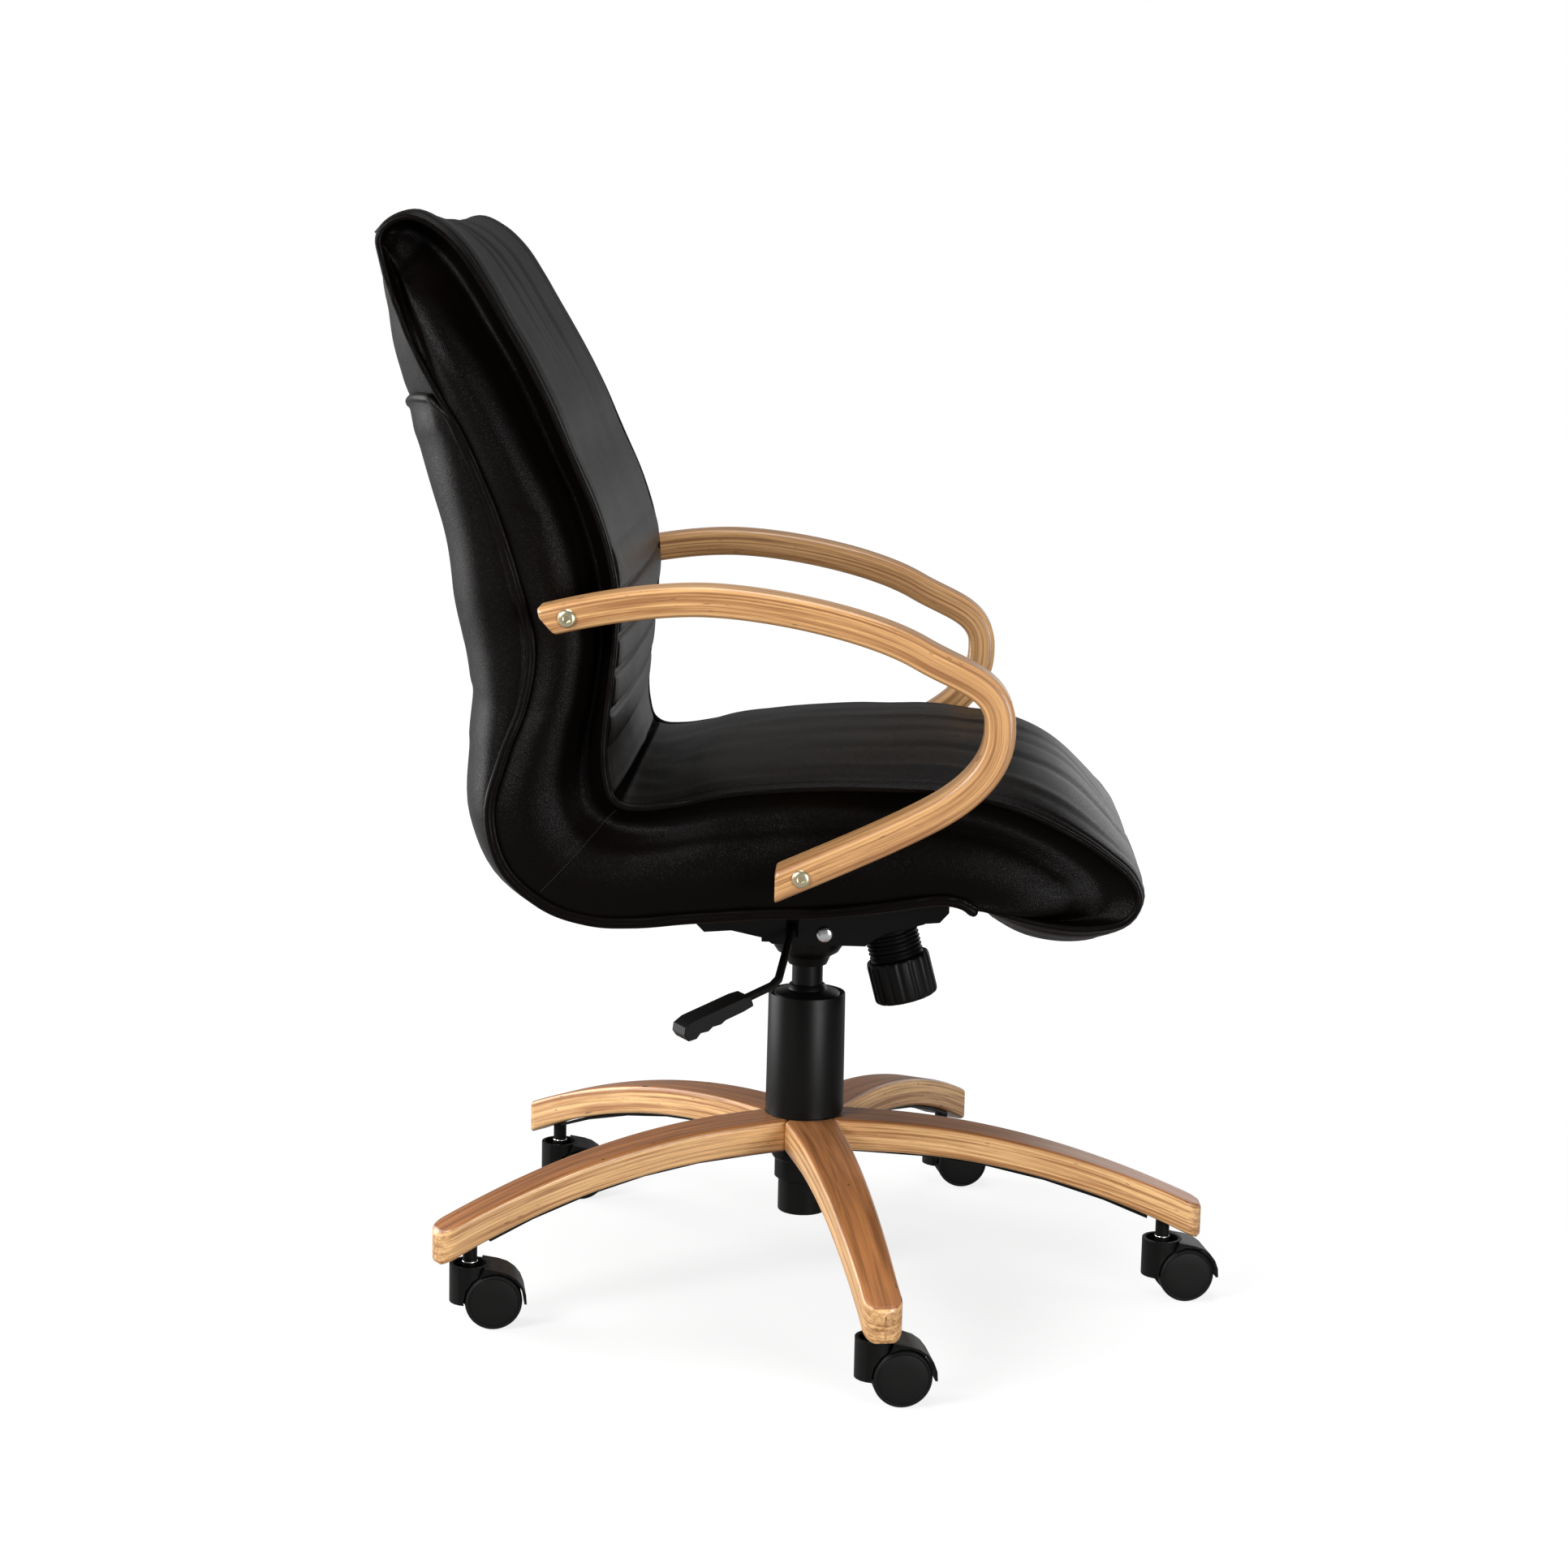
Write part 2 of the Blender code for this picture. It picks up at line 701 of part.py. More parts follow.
def make_lift():
    tube_top = cover_top - tube_top_below_cover
    tube_foot = leg_root_under - tube_foot_length
    taper_foot = leg_root_under - hub_drop + 0.012
    bore = gas_cylinder_radius + running_gap
    rod_bore = piston_rod_radius + touch_gap
    tube = turned(
        "column_tube",
        [
            (tube_radius, tube_top), (tube_radius, taper_foot + 0.018), (tube_foot_radius, taper_foot),
            (tube_foot_radius, tube_foot + 0.001), (tube_foot_radius - 0.001, tube_foot),
            (rod_bore, tube_foot),
            (rod_bore, tube_foot + 0.004), (bore, tube_foot + 0.004), (bore, tube_top),
        ],
        black_steel,
    )
    clip = turned(
        "column_clip",
        [
            (0.011, tube_foot - touch_gap), (0.011, tube_foot - 0.002), (rod_bore, tube_foot - 0.002),
            (rod_bore, tube_foot - touch_gap),
        ],
        steel,
        16,
    )
    cylinder_foot = tube_foot + 0.004 + touch_gap
    rod_top = cylinder_foot + lift_stroke + 0.030
    piston_rod = turned(
        "piston_rod",
        [
            (0, rod_top), (piston_rod_radius, rod_top), (piston_rod_radius, tube_foot - 0.0035),
            (0, tube_foot - 0.0035),
        ],
        steel,
        16,
    )
    cylinder = turned(
        "gas_cylinder",
        [
            (0, cylinder_top), (gas_cylinder_radius - 0.001, cylinder_top),
            (gas_cylinder_radius, cylinder_top - 0.002),
            (gas_cylinder_radius, cylinder_foot), (rod_bore, cylinder_foot),
            (rod_bore, rod_top + 0.004), (0, rod_top + 0.004),
        ],
        black_steel,
    )
    valve_foot = cylinder_top - 0.006
    cut(
        cylinder,
        rod(
            "valve_bore", (0, 0, valve_foot), (0, 0, cylinder_top + 0.01), valve_radius + touch_gap,
            None, 12,
        ),
    )
    valve = turned(
        "valve_button",
        [
            (0, cylinder_top + valve_height), (valve_radius, cylinder_top + valve_height),
            (valve_radius, valve_foot + valve_travel + touch_gap),
            (0, valve_foot + valve_travel + touch_gap),
        ],
        steel,
        12,
    )
    carry(base_joint, tube, clip, piston_rod)
    carry(lift_joint, cylinder, valve)


def make_column_covers():
    """Three telescoping sleeves. The top one rides on the gas cylinder and the middle one halfway."""
    inner = cover_radius_top - cover_wall
    bead = 0.003
    lower = turned(
        "column_cover_lower",
        [
            (cover_radius_top, cover_top), (cover_radius_foot, cover_foot), (inner, cover_foot),
            (inner, cover_top),
        ],
        black_plastic,
        20,
    )
    middle_radius = inner - cover_stage_step / 3
    middle_inner = middle_radius - cover_wall
    middle_foot = cover_foot + 0.003
    middle = turned(
        "column_cover_middle",
        [
            (middle_radius, cover_top - 0.001), (middle_radius, middle_foot + bead),
            (inner - touch_gap, middle_foot + bead / 2),
            (inner - touch_gap, middle_foot), (middle_inner, middle_foot), (middle_inner, cover_top - 0.001),
        ],
        black_plastic,
        20,
    )
    upper_radius = middle_inner - cover_stage_step / 3
    upper_inner = upper_radius - cover_wall
    upper_foot = middle_foot + 0.003
    collar = cover_top + collar_height
    neck = gas_cylinder_radius + touch_gap
    upper = turned(
        "column_cover_upper",
        [
            (neck + 0.0015, collar), (neck + 0.004, cover_top + 0.003),
            (upper_radius - 0.002, cover_top + 0.001),
            (upper_radius, cover_top - 0.001), (upper_radius, upper_foot + bead),
            (middle_inner - touch_gap, upper_foot + bead / 2),
            (middle_inner - touch_gap, upper_foot), (upper_inner, upper_foot),
            (upper_inner, cover_top - 0.003),
            (neck, cover_top - 0.001), (neck, collar),
        ],
        black_plastic,
        20,
    )
    carry(base_joint, lower)
    carry(cover_joint, middle)
    carry(lift_joint, upper)


# Tilt mechanism


def on_bolt(distance):
    """A point on the draw bolt's axis, measured up from the knob's rim."""
    forward = knob_rim_forward - math.sin(bolt_lean) * distance
    return at(0, forward, pivot_height - knob_rim_below_pivot + math.cos(bolt_lean) * distance)


# Distance up the bolt to the point nearest the pivot, and its distance from the pivot
rim_ahead = knob_rim_forward - pivot_forward
bolt_foot_distance = rim_ahead * math.sin(bolt_lean) + knob_rim_below_pivot * math.cos(bolt_lean)
bolt_arm = rim_ahead * math.cos(bolt_lean) - knob_rim_below_pivot * math.sin(bolt_lean)
bolt_turn = Matrix.Rotation(-bolt_lean, 4, "X")
bolt_frame = Matrix.Translation(on_bolt(0)) @ bolt_turn
bolt_joint = joint_empty("draw_bolt_slide", on_bolt(bolt_foot_distance), swivel_joint)
travel_joint = joint_empty("tension_travel", on_bolt(0), bolt_joint)
knob_joint = joint_empty("tension_turn", on_bolt(0), travel_joint)
housing_floor_distance = 0.0375


def make_housing():
    sides = [bolt_frame @ Vector((0, side, housing_floor_distance)) for side in (0.027, -0.034)]
    rear_corner, front_corner = [(-point.y, point.z) for point in sides]
    belly = pivot_height - housing_belly_drop
    rim = pivot_height + housing_rim_rise
    outline = [
        (-housing_rear_reach, rim), (-housing_rear_reach, belly), (rear_corner[0] - housing_step, belly),
        rear_corner, front_corner, (front_corner[0], rim),
    ]
    housing = side_prism("tilt_housing", outline, -housing_half_width, housing_half_width, black_steel)
    lifted = [(forward, height + housing_wall) for forward, height in outline[1:5]]
    rear_wall = housing_wall - housing_rear_reach
    front_wall = front_corner[0] - housing_wall
    past = rim + housing_wall
    hollow = [(rear_wall, past), (rear_wall, lifted[0][1])] + lifted[1:3]
    hollow += [(front_wall, lifted[3][1]), (front_wall, past)]
    cut(
        housing,
        side_prism("hollow", hollow, housing_wall - housing_half_width, housing_half_width - housing_wall),
    )
    join(housing, turned(
        "cup",
        [
            (0, cylinder_top + 0.004), (cup_body_radius - 0.012, cylinder_top + 0.004),
            (cup_body_radius, belly),
            (cup_body_radius - 0.002, cup_mouth + 0.018), (cup_body_radius - 0.006, cup_mouth + 0.012),
            (cup_mouth_radius + 0.0035, cup_mouth + 0.008), (cup_mouth_radius, cup_mouth), (0, cup_mouth),
        ],
        None,
    ))
    cut(
        housing,
        rod(
            "cylinder_seat", (0, 0, cup_mouth - 0.01), (0, 0, cylinder_top + touch_gap),
            gas_cylinder_radius + touch_gap, None, 24,
        ),
    )
    cut(
        housing,
        rod(
            "valve_way", (0, 0, cylinder_top - 0.01), (0, 0, cylinder_top + 0.02),
            valve_radius + running_gap, None, 12,
        ),
    )
    cut(
        housing,
        rod(
            "pin_way", at(-0.09, pivot_forward, pivot_height), at(0.09, pivot_forward, pivot_height),
            pivot_pin_radius + touch_gap, None, 16,
        ),
    )
    cut(
        housing,
        rod(
            "bush_way", at(-0.09, lever_axis_forward, lever_axis_height),
            at(-0.05, lever_axis_forward, lever_axis_height), lever_bush_radius + touch_gap, None, 16,
        ),
    )
    cut(
        housing,
        rod(
            "bolt_way", on_bolt(housing_floor_distance - 0.01), on_bolt(housing_floor_distance + 0.015),
            bolt_radius + running_gap, None, 16,
        ),
    )
    carry(swivel_joint, housing)


def make_pivot_pin():
    half = plate_half_width + touch_gap
    pin = turned(
        "pivot_pin",
        [
            (0, half + pivot_head_height), (pivot_head_radius * 0.6, half + pivot_head_height * 0.85),
            (pivot_head_radius, half), (pivot_pin_radius, half), (pivot_pin_radius, -half),
            (pivot_head_radius, -half),
            (pivot_head_radius * 0.6, -half - pivot_head_height * 0.85), (0, -half - pivot_head_height),
        ],
        zinc,
        16,
    )
    lay = Matrix.Rotation(math.radians(90), 4, "Y")
    pin.matrix_world = Matrix.Translation(at(0, pivot_forward, pivot_height)) @ lay
    carry(swivel_joint, pin)


def make_tension_set():
    floor = -knob_length + knob_floor
    hub_top = floor + knob_hub_height
    washer_foot = hub_top + touch_gap
    washer_top = washer_foot + spring_washer_thickness
    sleeve_top = housing_floor_distance - touch_gap
    sleeve_foot = -sleeve_overlap
    crest = sleeve_radius
    root = sleeve_radius - sleeve_rib_depth
    inner = sleeve_radius - sleeve_wall - sleeve_rib_depth
    flange_foot = sleeve_top - sleeve_flange
    profile = [(crest + 0.002, sleeve_top), (crest + 0.002, flange_foot)]
    ribs = int((flange_foot + knob_adjustment) / sleeve_rib_pitch)
    for rib in range(ribs):
        height = flange_foot - (rib + 0.25) * sleeve_rib_pitch
        profile += [(root, height), (crest, height - sleeve_rib_pitch / 2)]
    profile += [(root, sleeve_foot), (inner, sleeve_foot), (inner, flange_foot)]
    profile += [(bolt_radius + running_gap, flange_foot), (bolt_radius + running_gap, sleeve_top)]
    sleeve = turned("spring_sleeve", profile, black_plastic, 14)
    sleeve.matrix_world = bolt_frame

    spring_foot = washer_top + touch_gap + spring_wire_radius
    spring_top = flange_foot - touch_gap - spring_wire_radius
    per_turn = 8
    count = spring_turns * per_turn
    points = [
        (
            spring_radius * math.cos(math.tau * i / per_turn),
            spring_radius * math.sin(math.tau * i / per_turn),
            spring_foot + (spring_top - spring_foot) * i / count,
        )
        for i in range(count + 1)
    ]
    pitch = (spring_top - spring_foot) / spring_turns
    print(f"least gap between spring turns {pitch - 2 * spring_wire_radius:.4f} m")
    spring = swept("tension_spring", points, spring_wire_radius, black_steel, 1)
    spring.matrix_world = bolt_frame

    washer = turned(
        "spring_washer",
        [
            (spring_washer_radius, washer_top), (spring_washer_radius, washer_foot),
            (bolt_radius + touch_gap, washer_foot), (bolt_radius + touch_gap, washer_top),
        ],
        steel,
        16,
    )
    washer.matrix_world = bolt_frame

    bolt_end = floor + touch_gap + knob_adjustment + touch_gap
    bolt = rod("tension_bolt", (0, 0, bolt_end), (0, 0, bolt_foot_distance), bolt_radius, steel, 12)
    eye = 0.018
    pin_end = Vector((eye, 0, bolt_foot_distance))
    cross_pin = rod("cross_pin", (-eye, 0, bolt_foot_distance), pin_end, bolt_radius, None, 16)
    join(bolt, cross_pin)
    for piece in (bolt, cross_pin):
        piece.matrix_world = bolt_frame

    outline = []
    for flute in range(knob_flutes):
        start = math.tau * flute / knob_flutes
        step = math.tau / knob_flutes
        for share, depth in ((0.0, 0.0), (0.5, 0.0), (0.75, knob_flute_depth)):
            radius = knob_radius - depth
            outline.append((radius * math.cos(start + share * step), radius * math.sin(start + share * step)))
    bm = bmesh.new()
    foot_ring = [bm.verts.new((x * 0.94, y * 0.94, -knob_length)) for x, y in outline]
    low_ring = [bm.verts.new((x, y, -knob_length + 0.003)) for x, y in outline]
    top_ring = [bm.verts.new((x, y, 0)) for x, y in outline]
    for lower, upper in ((foot_ring, low_ring), (low_ring, top_ring)):
        for i in range(len(outline)):
            j = (i + 1) % len(outline)
            bm.faces.new((lower[i], lower[j], upper[j], upper[i]))
    bm.faces.new(list(reversed(foot_ring)))
    bm.faces.new(top_ring)
    knob = mesh_object("tension_knob", bm, black_plastic)
    hollow = turned(
        "knob_hollow",
        [
            (0, 0.01), (knob_radius - knob_wall, 0.01), (knob_radius - knob_wall, floor),
            (knob_hub_radius, floor),
            (knob_hub_radius, hub_top), (0, hub_top),
        ],
        None,
        20,
    )
    bore = rod("knob_bore", (0, 0, floor), (0, 0, hub_top + 0.01), bolt_radius + touch_gap, None, 12)
    cut(knob, hollow, bore)
    for piece in (knob, hollow, bore):
        piece.matrix_world = bolt_frame
    carry(swivel_joint, sleeve, spring)
    carry(bolt_joint, bolt)
    carry(travel_joint, washer)
    carry(knob_joint, knob)


def make_lever():
    finger_half = 0.014
    axis = at(0, lever_axis_forward, lever_axis_height)
    points = [axis + at(*offset) for offset in lever_path]
    lever = meshed(swept("lever_rod", points, lever_rod_radius, black_steel, 3))
    button_top = cylinder_top + valve_height + touch_gap
    finger = box(
        "finger",
        (-finger_half, -0.004, button_top),
        (finger_half, -lever_axis_forward + 0.001, button_top + 0.004),
    )
    join(lever, finger)
    bush = turned(
        "lever_bushing",
        [
            (lever_bush_radius + 0.002, 0.0015), (lever_bush_radius + 0.002, touch_gap),
            (lever_bush_radius, touch_gap),
            (lever_bush_radius, -0.008), (lever_rod_radius + touch_gap, -0.008),
            (lever_rod_radius + touch_gap, 0.0015),
        ],
        black_plastic,
        16,
    )
    outer = at(-housing_half_width, lever_axis_forward, lever_axis_height)
    bush.matrix_world = Matrix.Translation(outer) @ Matrix.Rotation(math.radians(-90), 4, "Y")

    grip_end = points[-1]
    along = (points[-1] - points[-2]).normalized()
    root = grip_end - along * 0.014
    paddle = side_prism("lever_paddle", paddle_outline, -paddle_width / 2, paddle_width / 2, black_plastic)
    across = along.cross(Vector((0, 0, 1))).normalized()
    up = across.cross(along).normalized()
    # The outline's forward axis is laid along the lever and its height axis upwards
    frame = Matrix((across, along, up)).transposed().to_4x4()
    flip = Matrix.Rotation(math.radians(180), 4, "Z")
    paddle.matrix_world = Matrix.Translation(root) @ frame @ flip @ paddle.matrix_world
    bevel(paddle, 0.0016, 1, 50.0)
    cut(
        paddle,
        rod(
            "paddle_bore", root - along * 0.005, grip_end + along * touch_gap,
            lever_rod_radius + touch_gap, None, 12,
        ),
    )
    carry(lever_joint, lever, bush, paddle)


def plate_top(forward):
    """The seat plate's top face slopes up to the front with the shell's underside."""
    low, high = shell_under(-0.050), shell_under(0.050)
    return low + (high - low) * (forward + 0.050) / 0.100 - touch_gap


def shell_under(forward):
    """Height of the shell's underside along the seat, between the stations of the rear seam."""
    seam = offset_path(above_pivot(rear_seam), -touch_gap - shell_thickness)
    for (low_forward, low_height), (high_forward, high_height) in zip(seam[11:], seam[12:]):
        if low_forward <= forward <= high_forward:
            share = (forward - low_forward) / (high_forward - low_forward)
            return low_height + share * (high_height - low_height)
    return seam[-1][1]


def plate_screw_frame(forward, across):
    """The origin is on the plate's underside and local Z is square to the plate."""
    lean = math.atan((plate_top(0.05) - plate_top(-0.05)) / 0.10)
    under = at(across, forward, plate_top(forward) - plate_thickness / math.cos(lean))
    return Matrix.Translation(under) @ Matrix.Rotation(-lean, 4, "X")


def make_seat_plate():
    edge = above_pivot(plate_edge)
    top = [(plate_rear, plate_top(plate_rear)), (plate_front, plate_top(plate_front))]
    plate = side_prism("seat_plate", top + edge, -plate_half_width, plate_half_width, black_steel)
    roof = plate_thickness
    hollow = [
        (plate_rear + roof, plate_top(plate_rear) - roof),
        (plate_front - roof, plate_top(plate_front) - roof),
        (plate_front - roof, pivot_height - 0.03), (plate_rear + roof, pivot_height - 0.03),
    ]
    cut(plate, side_prism("plate_hollow", hollow, roof - plate_half_width, plate_half_width - roof))
    eye_at = on_bolt(bolt_foot_distance)
    drift = bolt_arm * (1 - math.cos(math.radians(recline_deg))) / 2
    eye_way = eye_at + bolt_turn @ Vector((0, -drift, 0))
    eye_low = pivot_height + 0.006
    for side in (-1, 1):
        ear = box(
            "ear",
            (side * 0.0135 - 0.0015, eye_at.y - 0.012, eye_low),
            (side * 0.0135 + 0.0015, eye_at.y + 0.012, plate_top(-eye_at.y) - roof / 2),
        )
        join(plate, ear)
    cut(
        plate,
        rod(
            "eye_way", eye_way + Vector((-0.03, 0, 0)), eye_way + Vector((0.03, 0, 0)),
            bolt_radius + drift + touch_gap, None, 16,
        ),
    )
    cut(
        plate,
        rod(
            "plate_pin_way", at(-0.1, pivot_forward, pivot_height),
            at(0.1, pivot_forward, pivot_height), pivot_pin_radius + touch_gap, None, 16,
        ),
    )
    reach = abs(pivot_forward - lever_axis_forward)
    lift = reach * math.sin(math.radians(recline_deg)) + 0.001
    clear = lever_rod_radius + 0.0012
    cut(plate, box(
        "lever_slot",
        (-0.1, -lever_axis_forward - clear - 0.001, lever_axis_height - clear),
        (-0.07, -lever_axis_forward + clear, lever_axis_height + lift + clear),
    ))
    for forward, across in plate_screw_places:
        for side in (-1, 1):
            name = f"plate_screw_{'front' if forward > 0 else 'rear'}_{'left' if side > 0 else 'right'}"
            lay = plate_screw_frame(forward, side * across)
            way = rod(
                "screw_way", lay @ Vector((0, 0, -0.02)), lay @ Vector((0, 0, 0.02)),
                plate_screw_radius + touch_gap, None, 12,
            )
            cut(plate, way)
            foot = -touch_gap - plate_screw_head_height
            top = roof + plate_screw_bite
            screw = turned(
                name,
                [
                    (0, top), (plate_screw_radius, top), (plate_screw_radius, -touch_gap),
                    (plate_screw_head_radius, -touch_gap), (plate_screw_head_radius, foot), (0, foot),
                ],
                zinc,
                8,
            )
            screw.matrix_world = lay
            carry(tilt_joint, screw)
    carry(tilt_joint, plate)


# Upholstered seat and back


def pad_ring(front, rear, crown, bulge):
    """Half a cross-section from the middle of the front round the side to the middle of the rear."""
    front = Vector(front)
    rear = Vector(rear)
    through = (front - rear).normalized()
    width = seam_half_width
    puff = seam_half_width + gusset_puff
    middle = front.lerp(rear, 0.52)
    return [
        (0, front + through * crown),
        (width * 0.55, front + through * crown),
        (width, front),
        (puff, middle),
        (width, rear),
        (width * 0.62, rear - through * bulge * 0.86),
        (0, rear - through * bulge),
    ]


def lofted_half(name, rings, surface):
    """A half body through rings of (X, (forward, height)), closed at both ends and mirrored across X = 0."""
    bm = bmesh.new()
    crease = bm.edges.layers.float.new("crease_edge")
    rows = [[bm.verts.new(at(x, point[0], point[1])) for x, point in ring] for ring in rings]
    last = len(rings[0]) - 1
    for upper, lower in zip(rows, rows[1:]):
        for i in range(last):
            bm.faces.new((upper[i], lower[i], lower[i + 1], upper[i + 1]))
    for row in (rows[0], rows[-1]):
        for i in range(last // 2):
            a, b = row[i], row[i + 1]
            c, d = row[last - 1 - i], row[last - i]
            bm.faces.new((a, b, c, d) if b is not c else (a, b, d))
    bmesh.ops.recalc_face_normals(bm, faces=bm.faces)
    for seam in (2, 4):
        for upper, lower in zip(rows, rows[1:]):
            edge = bm.edges.get((upper[seam], lower[seam]))
            if edge is not None:
                edge[crease] = 0.45
    obj = mesh_object(name, bm, surface)
    mirror = obj.modifiers.new("mirror", "MIRROR")
    mirror.merge_threshold = 0.00001
    mirror.use_clip = True
    round_off = obj.modifiers.new("round", "SUBSURF")
    round_off.levels = 1
    round_off.render_levels = 1
    return obj


def seam_run(first, last):
    """The rear seam's points from one station to another, either of which may lie between two of them."""
    seam = [Vector(point) for point in above_pivot(rear_seam)]

    def between(station):
        whole = math.floor(station)
        return seam[whole].lerp(seam[whole + 1], station - whole)

    inside = [seam[i] for i in range(math.floor(first) + 1, math.floor(last) + 1)]
    return [tuple(point) for point in [between(first)] + inside + [between(last)]]


def lengthened(line, distance):
    """The line with both ends moved outwards along it."""
    start = (Vector(line[0]) - Vector(line[1])).normalized() * distance
    end = (Vector(line[-1]) - Vector(line[-2])).normalized() * distance
    return [tuple(Vector(line[0]) + start)] + line[1:-1] + [tuple(Vector(line[-1]) + end)]


def rail_outline(grow=0.0):
    seam = seam_run(rail_first_station, rail_last_station)
    inner = offset_path(seam, rail_depth + grow)
    outer = offset_path(seam, -touch_gap - shell_thickness - 2 * grow)
    return lengthened(inner, grow) + list(reversed(lengthened(outer, grow)))


def shell_outline(grow=0.0, open_front=0.0):
    seam = seam_run(shell_first_station, shell_last_station)
    inner = offset_path(seam, open_front - touch_gap)
    outer = offset_path(seam, -touch_gap - shell_thickness - grow)
    return lengthened(inner, grow) + list(reversed(lengthened(outer, grow)))


def rail_cutter(side):
    low, high = sorted(
        (side * (shell_half_width - 0.001), side * (shell_half_width + 2 * touch_gap + rail_thickness))
    )
    return side_prism("rail_way", rail_outline(touch_gap), low, high)


def screw_cutter(place_at, side, clearance=touch_gap, segments=12):
    forward, height = place_at
    outer = arm_inner_face + arm_width + arm_screw_head_height
    start = at(side * (shell_half_width - rail_thickness), forward, height + pivot_height)
    end = at(side * outer, forward, height + pivot_height)
    return rod("screw_way", start, end, arm_screw_radius + clearance, None, segments)


def make_pad():
    front = above_pivot(front_seam)
    rear = above_pivot(rear_seam)
    proud = offset_path(rear, -0.010)
    rear[cover_first_station + 1 : cover_last_station + 1] = proud[
        cover_first_station + 1 : cover_last_station + 1
    ]
    rings = []
    for index, (f, r) in enumerate(zip(front, rear)):
        rings.append(pad_ring(f, r, front_crown[index], rear_crown[index]))
    pad = lofted_half("seat_back_pad", rings, leather)
    cut(pad, seam_slab("pad_rear_trim", 0, -0.08))
    for side in (-1, 1):
        cut(pad, rail_cutter(side))
        for spot in (arm_rear_screw, arm_foot_screw):
            cut(pad, screw_cutter(spot, side, 0.001, 8))
    for height in lumbar_channels:
        z = height + pivot_height
        for (f0, z0), (f1, z1) in zip(front, front[1:]):
            if z1 <= z <= z0:
                forward = f0 + (f1 - f0) * (z0 - z) / (z0 - z1)
        foot = forward + front_crown[0] - channel_depth
        mouth = foot + 3 * channel_depth
        groove = [(foot, z), (mouth, z + channel_radius), (mouth, z - channel_radius)]
        half = seam_half_width - 0.012
        cut(pad, side_prism("channel", groove, -half, half))
    carry(tilt_joint, pad)


def seam_slab(name, start_distance, end_distance):
    """Everything between two offsets of the rear seam's surface, level across its top end."""
    seam = above_pivot(rear_seam)[cover_first_station : cover_last_station + 1]
    start = offset_path(seam, start_distance)
    end = offset_path(seam, end_distance)
    end[0] = (start[0][0] + end_distance - start_distance, start[0][1])
    half = seam_half_width + 0.05
    return side_prism(name, start + list(reversed(end)), -half, half)


def make_outer_cover():
    seam = above_pivot(rear_seam)
    fronts = offset_path(seam, 0.008)
    width = seam_half_width - cover_inset
    rings = []
    for index in range(cover_first_station, cover_last_station + 1):
        front = Vector(fronts[index])
        inward = (front - Vector(seam[index])).normalized()
        if index == cover_first_station:
            front.y -= 2 * touch_gap
            inward = Vector((1, 0))
        bulge = cover_bulge[index - cover_first_station] + 0.008
        rings.append([
            (0, front),
            (width * 0.55, front),
            (width, front),
            (width * 0.985, front - inward * bulge * 0.36),
            (width * 0.84, front - inward * bulge * 0.80),
            (width * 0.45, front - inward * bulge),
            (0, front - inward * bulge * 1.04),
        ])
    cover = lofted_half("outer_cover", rings, leather)
    clear = touch_gap
    cut(cover, seam_slab("cover_front_trim", -touch_gap, 0.03))
    pocket = shell_outline(clear, 0.012)
    cut(cover, side_prism("shell_way", pocket, -shell_half_width - clear, shell_half_width + clear))
    for side in (-1, 1):
        cut(cover, rail_cutter(side))
    window = 0.0012
    cut(cover, box(
        "plate_window",
        (-plate_half_width - window, -plate_front - window, pivot_height - 0.05),
        (plate_half_width + window, -plate_rear + window, plate_top(0) + 0.03),
    ))
    carry(tilt_joint, cover)


def make_shell():
    shell = side_prism("inner_shell", shell_outline(), -shell_half_width, shell_half_width, plywood)
    for forward, across in plate_screw_places:
        for side in (-1, 1):
            lay = plate_screw_frame(forward, side * across)
            depth = plate_thickness + plate_screw_bite + touch_gap
            end = lay @ Vector((0, 0, depth))
            cut(shell, rod("insert", lay.translation, end, plate_screw_radius + touch_gap, None, 12))
    carry(tilt_joint, shell)
    for side, word in ((1, "left"), (-1, "right")):
        low, high = sorted(
            (side * (shell_half_width + touch_gap), side * (shell_half_width + touch_gap + rail_thickness))
        )
        rail = side_prism(f"side_rail_{word}", rail_outline(), low, high, black_steel)
        for spot in (arm_rear_screw, arm_foot_screw):
            cut(rail, screw_cutter(spot, side))
        carry(tilt_joint, rail)


# Bentwood arms


def arm_section():
    """Half-width and half-thickness of the laminated section, with rounded corners."""
    curve = bpy.data.curves.new("arm_section", "CURVE")
    curve.dimensions = "2D"
    spline = curve.splines.new("POLY")
    points = []
    for corner, (sx, sy) in enumerate(((1, 1), (-1, 1), (-1, -1), (1, -1))):
        cx = sx * (arm_thickness / 2 - arm_edge_round)
        cy = sy * (arm_width / 2 - arm_edge_round)
        for share in (0.0, 0.5, 1.0):
            angle = math.radians(corner * 90 + share * 90)
            points.append((cx + arm_edge_round * math.cos(angle), cy + arm_edge_round * math.sin(angle)))
    spline.points.add(len(points) - 1)
    for point, (x, y) in zip(spline.points, points):
        point.co = (x, y, 0, 1)
    spline.use_cyclic_u = True
    obj = bpy.data.objects.new("arm_section", curve)
    cutter_collection.objects.link(obj)
    obj.hide_render = True
    return obj


